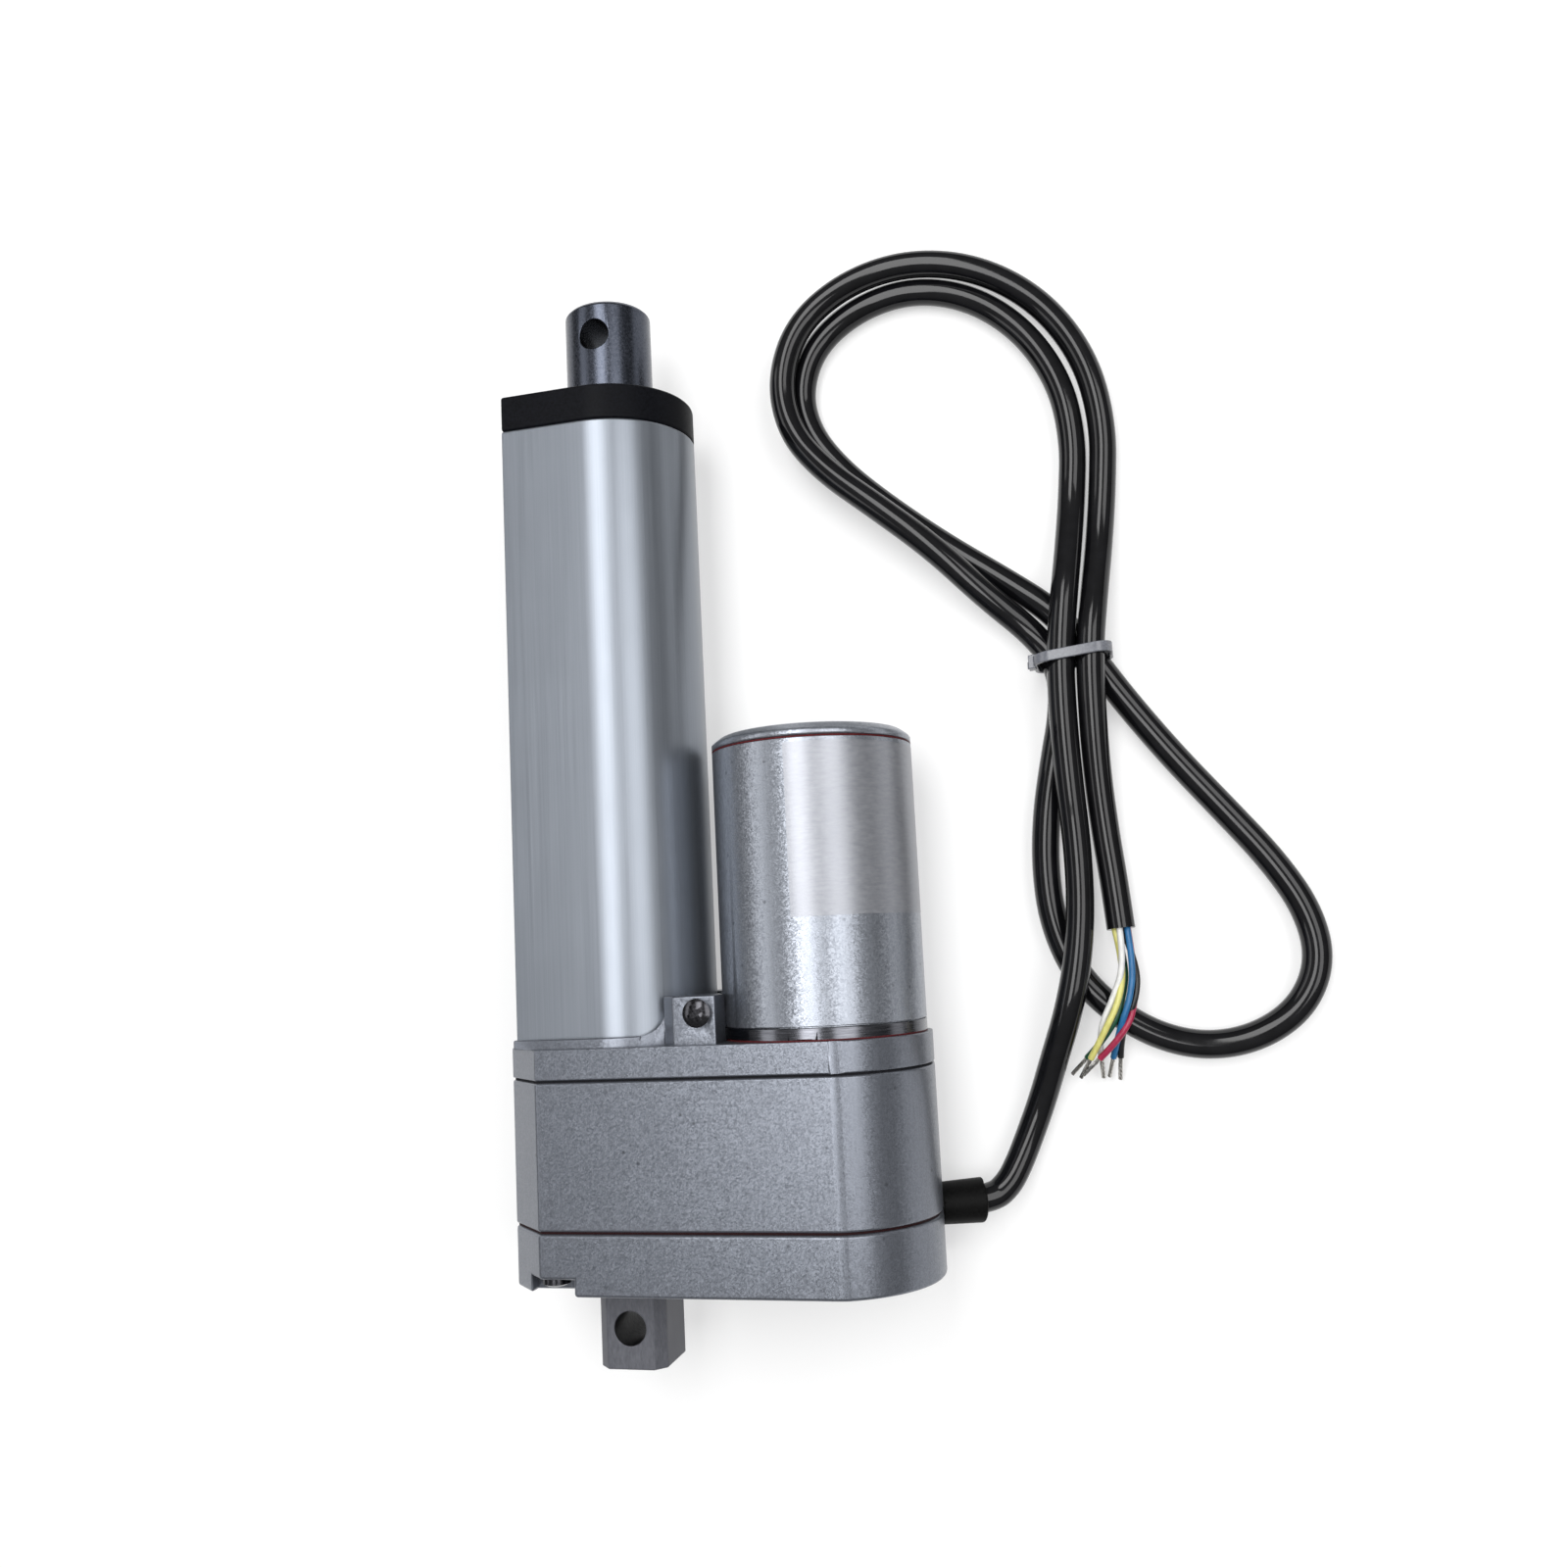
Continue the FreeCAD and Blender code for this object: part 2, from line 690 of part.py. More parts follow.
node(cut(
    gear_solid("screw_gear_teeth", "screw_module", -size("screw_shift"), half_tooth("screw_gear_teeth"),
               "screw_gear_start", "screw_gear_end", "0"),
    turned("shank_radius + fit_gap", "screw_gear_start", "screw_gear_end"),
    block("-key_half_width", "key_half_width", "screw_gear_start", "screw_gear_end", "0", key_top),
), "screw_gear")
node(group(*[
    ring("shank_radius + ring_wall", ring_bore, start, f"{start} + ring_thickness") for start in RING_STARTS
]), "gear_retaining_rings")

# Ball bearing that carries the lead screw and takes its thrust
race = primitive(
    "Torus", {"Radius1": "ball_circle", "Radius2": "ball_radius + ball_gap"},
    ("0", "bearing_start + bearing_width / 2", "0"), ALONG_Y,
)
node(cut(
    ring("bearing_outer_radius", "bearing_outer_radius - bearing_ring_wall", "bearing_start", "bearing_end"),
    race,
), "bearing_outer_ring")
node(cut(
    ring("shank_radius + bearing_ring_wall", "shank_radius + fit_gap", "bearing_start", "bearing_end"),
    race,
), "bearing_inner_ring")
balls = []
for index in range(int(size("ball_count"))):
    angle = f"360 * {index} / ball_count"
    spot = (f"ball_circle * cos({angle})", "bearing_start + bearing_width / 2", f"ball_circle * sin({angle})")
    balls.append(primitive("Sphere", {"Radius": "ball_radius"}, spot))
node(group(*balls), "bearing_balls")
node(ring("bearing_outer_radius", "bearing_outer_radius - retainer_wall",
          "retainer_start", "retainer_start + retainer_thickness"), "bearing_retainer")

# Outer tube, front cap, guide bush and wiper seal
node(cut(
    tube_prism("0", "flange_front", "tube_end"),
    tube_prism("-tube_wall", "flange_front", "tube_end"),
), "outer_tube")
node(cut(
    fuse(tube_prism("0", "tube_end", "cap_front"),
         tube_prism("(-tube_wall - fit_gap)", "cap_spigot_end", "tube_end")),
    turned("rod_radius + cap_mouth_gap", "cap_spigot_end", "cap_front"),
    turned("bush_outer + fit_gap", "cap_spigot_end", "cap_spigot_end + bush_length"),
    turned("wiper_outer + fit_gap", "wiper_front - wiper_length", "wiper_front"),
), "front_cap")
node(ring("bush_outer", "rod_radius + fit_gap", "cap_spigot_end", "cap_spigot_end + bush_length"),
     "rod_guide_bush")
node(ring("wiper_outer", "rod_radius + fit_gap", "wiper_front - wiper_length", "wiper_front"),
     "rod_wiper_seal")

# Limit switches on a board in a corner of the tube's flat side; the nut's tab passes each plunger
board_end = "tab_middle + stroke - nut_tab_length / 2 + board_overrun"
node(block("board_back", "board_front", "nut_start + board_start_gap", board_end, "board_low", "board_top"),
     "limit_switch_board")
well_depth = "plunger_length - plunger_standout + plunger_travel + fit_gap"
for name, middle in [("lower", "tab_middle"), ("upper", "(tab_middle + stroke)")]:
    case = block("board_front", "switch_front",
                 f"{middle} - switch_length / 2", f"{middle} + switch_length / 2",
                 "board_middle - switch_half_width", "board_middle + switch_half_width")
    well = primitive("Cylinder", {"Radius": "plunger_radius + fit_gap", "Height": well_depth},
                     ("switch_front", middle, "board_middle"), UNDER_X)
    node(cut(case, well), f"{name}_limit_switch")
    node(primitive("Cylinder", {"Radius": "plunger_radius", "Height": "plunger_length"},
                   ("plunger_tip", middle, "board_middle"), UNDER_X), f"{name}_switch_plunger")

# Cable gland on the seam, pointing out of the round end and a little down
GLAND_TURN = Rotation(Vector(0, 1, 0), 90 + size("gland_angle"))


def gland_place(piece):
    """Puts a piece made about local Z on the gland's axis, with the motor axis as its zero."""
    return place(piece, ("motor_x", "rear_seam", "0"), GLAND_TURN)


gland_inside = "(gland_seat - gland_flange_thickness)"
gland_hole = gland_place(
    pin("gland_neck_radius + fit_gap", "0", "0", gland_inside, "round_end_radius * 2")
)
gland_mouth = primitive(
    "Cone", {"Radius1": "gland_root_radius", "Radius2": "gland_mouth_radius",
             "Height": "gland_end - round_end_radius - fit_gap"},
    ("0", "0", "round_end_radius + fit_gap"),
)
node(gland_place(cut(
    fuse(
        pin("gland_flange_radius", "0", "0", gland_inside, "gland_seat"),
        pin("gland_neck_radius", "0", "0", gland_inside, "round_end_radius + fit_gap"),
        gland_mouth,
    ),
    pin("cable_radius + fit_gap", "0", "0", "cable_socket", "gland_end"),
)), "cable_gland")

# Rear cover, with its clevis hole, corner notches, counterbores, screw posts and idler post
notch_inner = "corner_screw_z - screw_head_radius - fit_gap"
cover_notches = []
for low, high in [(notch_inner, "box_half_depth * 2"), ("-box_half_depth * 2", f"-({notch_inner})")]:
    cover_notches.append(block("-corner_screw_x - corner_notch_reach", "-corner_screw_x + corner_notch_reach",
                               "0", "notch_floor", low, high))
cover_front = "rear_seam - seam_half"
cover_shell = cut(box_prism("0", "cover_setback", cover_front), gear_cavity("cover_inside", cover_front))
cover_posts = [turned("post_radius", "cover_inside", cover_front, x, z) for x, z in POST_SCREWS]
idler_post = turned("idler_post_radius", "cover_inside", "idler_start - idler_post_gap", "idler_x")
node(cut(
    fuse(cover_shell, *cover_posts, idler_post),
    *[turned("screw_hole", "0", "rear_seam", x, z) for x, z in CORNER_SCREWS + POST_SCREWS],
    *[turned("screw_head_radius + 4 * fit_gap", "0", "cover_setback + counterbore_depth", x, z)
      for x, z in POST_SCREWS],
    *cover_notches,
    turned("axle_radius + fit_gap", "axle_start", "front_seam", "idler_x"),
    clevis_prism("fit_gap", "0", "cover_inside"),
    gland_hole,
), "rear_cover")

# Rear clevis, held by a flange inside the cover
clevis_lip = "clevis_flange_lip"
node(cut(
    fuse(
        clevis_prism("0", "-clevis_overhang", "cover_inside"),
        block(f"-clevis_half_width - {clevis_lip}", f"clevis_half_width + {clevis_lip}",
              "cover_inside", "cover_inside + clevis_flange_thickness",
              f"-clevis_half_depth - {clevis_lip}", f"clevis_half_depth + {clevis_lip}"),
    ),
    pin("pin_hole_radius", "0", "0", "-2 * clevis_half_depth", "2 * clevis_half_depth"),
), "rear_clevis")

# Gear housing between the two seams
housing_back = "rear_seam + seam_half"
housing_front = "front_seam - seam_half"
housing_posts = [turned("post_radius", housing_back, housing_front, x, z) for x, z in POST_SCREWS]
node(cut(
    fuse(cut(box_prism("0", housing_back, housing_front), gear_cavity(housing_back, housing_front)),
         *housing_posts),
    *[turned("screw_hole", housing_back, housing_front, x, z) for x, z in CORNER_SCREWS + POST_SCREWS],
    gland_hole,
), "gear_housing")

# Gaskets in the two seams, set back a little from the castings' faces
for name, seam in [("rear", "rear_seam"), ("front", "front_seam")]:
    start = f"{seam} - seam_half"
    end = f"{seam} + seam_half"
    node(cut(
        box_prism("gasket_inset", start, end),
        gear_cavity(start, end),
        *[turned("screw_hole", start, end, x, z) for x, z in CORNER_SCREWS + POST_SCREWS],
        gland_hole,
    ), f"{name}_gasket")

# Front housing: flange, collar round the tube, filleted clamp bosses and the bearing spigot
fillet_top = "collar_front + collar_fillet"
collar_rise = cut(
    common(
        collar_prism("flange_front", fillet_top),
        block("boss_left - collar_fillet", "boss_left + fit_gap", "flange_front", fillet_top,
              "-2 * tube_radius", "2 * tube_radius"),
    ),
    pin("collar_fillet", "boss_left - collar_fillet", fillet_top, "-2 * tube_radius", "2 * tube_radius"),
)
boss_right = "boss_left + boss_width"
boss_top = "flange_front + boss_height"
boss_outlines = [
    [("boss_left", f"{side}boss_floor"), ("boss_left", f"{side}(boss_face - boss_chamfer)"),
     ("boss_left + boss_chamfer", f"{side}boss_face"), (boss_right, f"{side}boss_face"),
     (boss_right, f"{side}boss_floor")]
    for side in ("", "-")
]
bosses = [prism(corners, "flange_back", boss_top) for corners in boss_outlines]
clamp_y = "flange_front + clamp_screw_height"
clamp_end = "boss_face - clamp_screw_length - fit_gap"
motor_clearance = turned("motor_radius + boss_motor_gap", "flange_front", boss_top, "motor_x")
tube_slot = cut(
    tube_prism("fit_gap", "flange_front", f"{boss_top} + collar_fillet"),
    turned("spigot_radius", "flange_front", "spigot_front"),
)
node(cut(
    fuse(
        box_prism("0", "flange_back", "flange_front"),
        collar_prism("flange_front", "collar_front"),
        collar_rise,
        *bosses,
        turned("spigot_radius", "flange_back", "spigot_front"),
    ),
    tube_slot,
    motor_clearance,
    turned("bearing_floor_hole", "flange_back", "bearing_start"),
    turned("bearing_outer_radius + fit_gap", "bearing_start", "spigot_front"),
    turned("can_boss_radius + fit_gap", "flange_back", "flange_front", "motor_x"),
    turned("axle_radius + fit_gap", "flange_back", "flange_back + axle_tip_seat", "idler_x"),
    *[turned("screw_hole", "flange_back", "screw_end + fit_gap", x, z)
      for x, z in CORNER_SCREWS + POST_SCREWS],
    *[turned("screw_hole", "flange_back", "flange_front", x, z) for x, z in MOTOR_SCREWS],
    pin("screw_hole", "clamp_screw_x", clamp_y, clamp_end, "box_half_depth"),
    pin("screw_hole", "clamp_screw_x", clamp_y, "-box_half_depth", f"-({clamp_end})"),
), "front_housing")

# Screws
cover_seats = [(x, "notch_floor", z) for x, z in CORNER_SCREWS]
cover_seats += [(x, "cover_setback + counterbore_depth", z) for x, z in POST_SCREWS]
node(group(*[screw(f"screw_end - ({y})", (x, y, z), DOWN_Y) for x, y, z in cover_seats]), "cover_screws")
node(group(
    screw("clamp_screw_length", ("clamp_screw_x", clamp_y, "boss_face"), ALONG_Z),
    screw("clamp_screw_length", ("clamp_screw_x", clamp_y, "-boss_face"), DOWN_Z),
), "tube_clamp_screws")
node(group(*[
    screw("can_inside - flange_back", (x, "flange_back", z), DOWN_Y) for x, z in MOTOR_SCREWS
]), "motor_screws")

# Idler: a wheel and a pinion in one piece on a fixed axle
idler_wheel = gear_solid("idler_wheel_teeth", "motor_module", -size("motor_shift"),
                         half_tooth("idler_wheel_teeth"), "wheel_start", "wheel_end", "idler_x")
idler_pinion = gear_solid("idler_pinion_teeth", "screw_module", size("screw_shift"), math.pi,
                          "idler_start", "wheel_start", "idler_x")
node(cut(
    fuse(idler_wheel, idler_pinion),
    turned("axle_radius + fit_gap", "idler_start", "wheel_end", "idler_x"),
), "idler_gear")
node(turned("axle_radius", "axle_start", "flange_back + axle_tip_seat", "idler_x"), "idler_axle")

# Motor casing: painted sleeve on a bright base ring, closed by an end cap, with thin red seals
groove_end = "sleeve_start + sleeve_groove_height"
sleeve_body = fuse(
    turned("motor_radius - sleeve_groove_depth", "sleeve_start", groove_end, "motor_x"),
    turned("motor_radius", groove_end, "sleeve_end", "motor_x"),
)
node(cut(sleeve_body, turned("sleeve_bore", "sleeve_start", "sleeve_end", "motor_x")), "motor_sleeve")
base_bore = "can_radius + fit_gap"
base_ring_start = "flange_front + base_gasket_thickness"
node(ring("motor_radius", base_bore, "flange_front", base_ring_start, "motor_x"), "motor_base_gasket")
node(ring("motor_radius", base_bore, base_ring_start, "sleeve_start", "motor_x"), "motor_base_ring")
node(ring("motor_radius", "sleeve_bore", "sleeve_end", "end_cap_start", "motor_x"), "motor_end_ring")
cap_bevel_start = "end_cap_start + end_cap_length - end_cap_bevel"
node(fuse(
    turned("sleeve_bore - fit_gap", "bell_end", "end_cap_start", "motor_x"),
    turned("motor_radius", "end_cap_start", cap_bevel_start, "motor_x"),
    taper("motor_radius", "motor_radius - end_cap_chamfer", cap_bevel_start,
          "end_cap_start + end_cap_length", "motor_x"),
), "motor_end_cap")

# Motor stator: can, end bell, magnets, bushes and brush gear
can_boss_back = "flange_front - can_boss_length"
node(cut(
    fuse(turned("can_radius", "flange_front", "bell_start", "motor_x"),
         turned("can_boss_radius", can_boss_back, "flange_front", "motor_x")),
    turned("can_bore", "can_inside", "bell_start", "motor_x"),
    turned("bush_radius", can_boss_back, "can_inside", "motor_x"),
    *[turned("screw_hole", "flange_front", "can_inside", x, z) for x, z in MOTOR_SCREWS],
), "motor_can")
node(cut(
    fuse(turned("can_radius", "bell_start", "bell_end", "motor_x"),
         turned("can_bore - fit_gap", "brush_holder_end", "bell_start", "motor_x")),
    turned("bush_radius", "brush_holder_end", "bell_end", "motor_x"),
), "motor_end_bell")
shaft_bore = "motor_shaft_radius + fit_gap"
node(group(
    ring("bush_radius", shaft_bore, "can_inside - motor_bush_length", "can_inside", "motor_x"),
    ring("bush_radius", shaft_bore, "brush_holder_end", "bell_end", "motor_x"),
), "motor_bushes")
magnet_back = "flange_front + magnet_start"
magnet_front = "flange_front + magnet_start + magnet_length"
magnets = []
for side in (0, 180):
    sector = turned("can_bore - fit_gap", magnet_back, magnet_front, "motor_x")
    sector.setExpression("Angle", bound("magnet_angle"))
    sector_turn = Rotation(Vector(0, 0, 1), side - size("magnet_angle") / 2)
    sector.Placement = Placement(Vector(), ALONG_Y * sector_turn)
    magnets.append(cut(sector, turned("magnet_bore", magnet_back, magnet_front, "motor_x")))
node(group(*magnets), "motor_magnets")
brush_tips = "commutator_radius + fit_gap"
brush_height = ("brush_middle - brush_half_height", "brush_middle + brush_half_height")
slot_height = (f"{brush_height[0]} - fit_gap", f"{brush_height[1]} + fit_gap")
brush_sides = ("motor_x - brush_half_width", "motor_x + brush_half_width")
slot_sides = (f"{brush_sides[0]} - fit_gap", f"{brush_sides[1]} + fit_gap")
brush_end = f"{brush_tips} + brush_length"
node(cut(
    ring("can_bore - fit_gap", "brush_holder_bore", "brush_holder_start", "brush_holder_end", "motor_x"),
    block(*slot_sides, *slot_height, "0", f"{brush_end} + fit_gap"),
    block(*slot_sides, *slot_height, f"-({brush_end}) - fit_gap", "0"),
), "brush_holder")
node(group(
    block(*brush_sides, *brush_height, brush_tips, brush_end),
    block(*brush_sides, *brush_height, f"-({brush_end})", f"-({brush_tips})"),
), "brushes")

# Motor rotor: shaft, slotted core, end windings, commutator and pinion
press_bore = "motor_shaft_radius"
node(turned("motor_shaft_radius", "pinion_start - fit_gap", "bell_end - fit_gap", "motor_x"), "motor_shaft")
core_slots = []
for index in range(int(size("core_slots"))):
    slot = block("core_radius - core_slot_depth", "core_radius * 2", "0", "core_length",
                 "-core_slot_width / 2", "core_slot_width / 2")
    turn = Rotation(Vector(0, 1, 0), 360 * index / size("core_slots"))
    core_slots.append(place(group(slot), ("motor_x", "core_back", "0"), turn))
node(cut(ring("core_radius", press_bore, "core_back", "core_front", "motor_x"), *core_slots), "rotor_core")
node(group(
    ring("winding_radius", "winding_bore", "core_back - winding_length", "core_back", "motor_x"),
    ring("winding_radius", "winding_bore", "core_front", "core_front + winding_length", "motor_x"),
), "rotor_windings")
node(ring("commutator_radius", press_bore, "commutator_start",
          "commutator_start + commutator_length", "motor_x"), "commutator")
node(cut(
    gear_solid("motor_pinion_teeth", "motor_module", size("motor_shift"), math.pi,
               "pinion_start", "pinion_end", "motor_x"),
    turned(press_bore, "pinion_start", "pinion_end", "motor_x"),
), "motor_pinion")

# Cable: out of the gland, folded double, both halves laid through the tie to the bare wires
FLOOR_Z = -17.55
gland_tilt = math.radians(size("gland_angle"))
gland_way = Vector(math.cos(gland_tilt), 0, -math.sin(gland_tilt))
cable_start = Vector(size("motor_x"), size("rear_seam"), 0) + gland_way * size("cable_socket")
CABLE_ROUTE = [
    (73.7, 23.6, -15.0), (76.0, 27.6, -16.0), (78.2, 32.4, -16.8), (81.3, 39.6, -17.0),
    (84.6, 48.5, -14.6), (88.1, 57.5, -11.6), (90.7, 67.5, -11.4), (92.0, 78.5, -13.6),
    (92.1, 91.0, -15.0), (91.5, 104.5, -12.4), (91.3, 117.5, -10.8), (91.7, 130.0, -10.3),
    (93.2, 141.5, -10.9), (94.8, 153.0, -14.2), (96.2, 164.5, -17.3), (97.4, 177.5), (95.4, 190.6),
    (88.4, 203.2), (77.6, 212.4), (65.0, 216.2), (52.4, 213.8), (42.4, 206.6), (38.7, 196.4),
    (40.4, 186.6), (46.8, 177.2), (56.4, 167.8), (68.6, 157.4), (81.0, 148.2), (90.8, 140.4),
    (97.2, 130.6, -16.1), (103.9, 120.0, -17.4), (112.3, 108.0), (121.4, 96.4), (129.6, 85.8),
    (135.4, 75.6), (137.0, 65.6), (133.0, 56.8), (124.8, 51.2), (115.0, 49.4), (105.4, 51.6),
    (96.6, 57.2), (89.6, 65.2), (85.9, 75.8), (85.2, 87.0), (86.2, 98.0), (88.4, 108.5),
    (91.0, 119.0, -17.2), (91.3, 128.0, -16.1), (86.4, 135.9, -17.2), (77.4, 144.2, -14.0),
    (67.0, 155.6, -11.8), (55.2, 166.2, -11.7), (44.2, 175.8, -12.2), (36.8, 185.8, -12.8),
    (35.0, 198.0, -12.9), (39.6, 210.2, -13.0), (51.0, 218.2, -13.4), (65.2, 220.8, -13.8),
    (79.8, 217.5, -14.8), (92.6, 208.6, -16.6), (101.0, 195.0, -17.4), (103.8, 179.8), (102.6, 165.5),
    (101.0, 153.0, -16.0), (99.2, 141.0, -12.2), (97.6, 129.5, -9.9), (97.2, 117.5, -11.8),
    (97.2, 105.0, -14.4), (97.9, 93.0, -16.4), (98.9, 82.5, -16.4), (99.5, 73.5, -15.6),
]
cable_points = [cable_start, cable_start + gland_way * size("cable_exit_run")]
cable_points += [Vector(*spot) if len(spot) == 3 else Vector(*spot, FLOOR_Z) for spot in CABLE_ROUTE]
cord("cable", cable_points, size("cable_radius"))

# Six wires fan out of the jacket's end, each with a bare tinned tip
WIRE_ANGLES = {"blue": 0, "white": 60, "yellow": 120, "green": 180, "black": 240, "red": 300}
WIRE_ROUTE = [(0.0, 0.0, 0.0, 1.0), (1.0, -6.7, 1.5, 1.15), (0.3, -13.5, 3.1, 1.4),
              (-2.5, -19.9, 3.0, 1.8), (-6.2, -25.2, 0.1, 2.3)]
wire_start = cable_points[-1] - Vector(0, size("wire_gap"), 0)
tips = []
for colour, angle in WIRE_ANGLES.items():
    aside = size("wire_circle") * math.cos(math.radians(angle))
    above = size("wire_circle") * math.sin(math.radians(angle))
    spots = [wire_start + Vector(x + aside * spread, y, z + above) for x, y, z, spread in WIRE_ROUTE]
    cord(f"wire_{colour}", spots, size("wire_radius"))
    way = (spots[-1] - spots[-2]).normalize()
    tip = document.addObject("Part::Cylinder", "Tip")
    tip.setExpression("Radius", bound("wire_tip_radius"))
    tip.setExpression("Height", bound("wire_tip_length"))
    tip.Placement = Placement(spots[-1], Rotation(Vector(0, 0, 1), way))
    tips.append(tip)
node(group(*tips), "wire_tips")

# Cable tie round both pairs of strands, with its locking head on the left


def rounded(left, right, start, end, low, high, corner):
    """A block along Y with its four long edges rounded."""
    sides = (f"{left} + {corner}", f"{right} - ({corner})")
    levels = (f"{low} + {corner}", f"{high} - ({corner})")
    posts = [turned(corner, start, end, x, z) for x in sides for z in levels]
    return fuse(block(left, right, start, end, *levels), block(*sides, start, end, low, high), *posts)


tie_start = "tie_place - tie_width / 2"
tie_end = "tie_place + tie_width / 2"
tie_middle = "(tie_floor + tie_top) / 2"
node(cut(
    fuse(
        rounded("tie_left - tie_thickness", "tie_right + tie_thickness", tie_start, tie_end,
                "tie_floor - tie_thickness", "tie_top + tie_thickness", "tie_corner + tie_thickness"),
        block("tie_left - tie_head_depth", "tie_left", "tie_place - tie_head_length / 2",
              "tie_place + tie_head_length / 2", f"{tie_middle} - tie_head_height / 2",
              f"{tie_middle} + tie_head_height / 2"),
    ),
    rounded("tie_left", "tie_right", "tie_place - tie_head_length", "tie_place + tie_head_length",
            "tie_floor", "tie_top", "tie_corner"),
), "cable_tie")

document.recompute()
faults = [item.Name for item in document.Objects if {"Invalid", "Error"} & set(item.State)]
if faults:
    raise RuntimeError("failed objects: " + ", ".join(faults))
for piece in nodes:
    if piece.Shape.isNull() or not piece.Shape.isValid() or not piece.Shape.Solids:
        raise RuntimeError(f"{piece.Label} has no valid solid")
os.makedirs("parts", exist_ok=True)
for piece in nodes:
    piece.Shape.exportStep(f"parts/{piece.Label}.step")
print(len(nodes), "sub-parts written")
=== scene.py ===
# %% [markdown]
# # An electric linear actuator, dressed in Blender
# The CAD model already has the right sizes, so it is loaded first and stays fixed.
# Each lesson below takes one piece or finish of the real actuator and makes it look as it does in life.
# Everything is in metres, in the CAD's own frame: the rod points along +Y and the part lies on its back.
# Sizes are written in millimetres where that reads better, and MM turns them into metres.

# %% Load the frame
import math

import bmesh
import bpy
from mathutils import Matrix, Vector
from mathutils.bvhtree import BVHTree


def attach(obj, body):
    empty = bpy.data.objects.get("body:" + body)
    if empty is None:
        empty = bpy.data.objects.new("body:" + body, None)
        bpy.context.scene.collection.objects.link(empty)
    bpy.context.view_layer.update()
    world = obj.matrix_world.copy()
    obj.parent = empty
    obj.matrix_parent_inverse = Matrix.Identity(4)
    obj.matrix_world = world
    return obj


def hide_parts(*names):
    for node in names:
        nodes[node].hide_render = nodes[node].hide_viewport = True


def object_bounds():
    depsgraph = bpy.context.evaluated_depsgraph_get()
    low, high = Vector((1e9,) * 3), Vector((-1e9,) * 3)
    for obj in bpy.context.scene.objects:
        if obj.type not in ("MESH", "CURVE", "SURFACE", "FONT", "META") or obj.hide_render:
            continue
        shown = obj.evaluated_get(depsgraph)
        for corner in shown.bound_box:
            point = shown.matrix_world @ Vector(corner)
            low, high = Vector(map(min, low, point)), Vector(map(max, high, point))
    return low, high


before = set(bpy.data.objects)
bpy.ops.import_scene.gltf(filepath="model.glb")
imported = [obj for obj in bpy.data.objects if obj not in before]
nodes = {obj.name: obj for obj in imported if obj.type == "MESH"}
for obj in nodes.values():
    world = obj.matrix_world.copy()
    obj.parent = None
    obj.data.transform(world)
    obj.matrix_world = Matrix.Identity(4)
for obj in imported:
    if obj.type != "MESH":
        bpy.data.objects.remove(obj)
cad_low, cad_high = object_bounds()
scene = bpy.context.scene
MM = 0.001
print("nodes:", len(nodes), "box from", tuple(cad_low), "to", tuple(cad_high))

# %% [markdown]
# ## Camera
# The picture was taken from above and to the right of the rod, with a fairly wide lens.
# A camera is a place, a line of sight and an up direction, so its matrix is built from those three.
# The values come from fitting known corners of the part, which is steadier than turning it by eye.

# %% Camera
CAMERA_PLACE = Vector((103.62, 73.54, 270.41)) * MM
SIGHT = Vector((-0.2448, 0.1168, -0.9625))
UPWARD = Vector((0.0765, 0.9919, 0.1009))
FOCAL_PIXELS = 1396.94
PICTURE_PIXELS = 1600
SENSOR = 36
NEAREST_SEEN = 10 * MM


def new_object(name, data):
    """An object at the origin, linked to the scene."""
    made = bpy.data.objects.new(name, data)
    scene.collection.objects.link(made)
    return made


camera_data = bpy.data.cameras.new("camera")
camera_data.sensor_width = SENSOR
camera_data.lens = SENSOR * FOCAL_PIXELS / PICTURE_PIXELS
camera_data.clip_start = NEAREST_SEEN
camera = new_object("camera", camera_data)
backward = -SIGHT.normalized()
rightward = UPWARD.cross(backward).normalized()
axes = Matrix((rightward, backward.cross(rightward), backward)).transposed()
camera.matrix_world = Matrix.Translation(CAMERA_PLACE) @ axes.to_4x4()
scene.camera = camera
print("lens", round(camera_data.lens, 2), "mm")

# %% [markdown]
# ## Finishes: shared effects
# Paint with metal flakes, drawn lines and moulded grain appear on several pieces.
# Each effect could be wired anew in every material, but then a change has to be made many times.
# So it is a node group, built once, with its sizes as inputs. These helpers add its nodes and join them.


# %% Helpers for node trees
def new_group(name, inputs, outputs, kind="ShaderNodeTree"):
    """A node group with named sockets; returns it with its inputs' sockets and its output node."""
    group = bpy.data.node_groups.new(name, kind)
    for way, sockets in (("INPUT", inputs), ("OUTPUT", outputs)):
        for label, value_kind in sockets.items():
            group.interface.new_socket(name=label, in_out=way, socket_type="NodeSocket" + value_kind)
    return group, group.nodes.new("NodeGroupInput").outputs, group.nodes.new("NodeGroupOutput")


def add(tree, kind, links=None, **settings):
    """Adds a node, sets its properties, and sets or links its inputs, given by name or number."""
    made = tree.nodes.new(kind)
    for label, value in settings.items():
        setattr(made, label, value)
    for label, source in (links or {}).items():
        if isinstance(source, bpy.types.NodeSocket):
            tree.links.new(source, made.inputs[label])
        else:
            made.inputs[label].default_value = source
    return made


def put_out(tree, group_out, **results):
    """Links results to the group's outputs of the same names."""
    for label, source in results.items():
        tree.links.new(source, group_out.inputs[label])


# %% Helpers for sums in node trees
MIX_FACTOR, MIX_FIRST_COLOUR, MIX_SECOND_COLOUR, MIX_COLOUR_OUT = 0, 6, 7, 2
NOISE_DETAIL = 3.0


def reckon(tree, operation, first, second):
    """A Math node on two numbers or sockets; returns its result."""
    return add(tree, "ShaderNodeMath", {0: first, 1: second}, operation=operation).outputs[0]


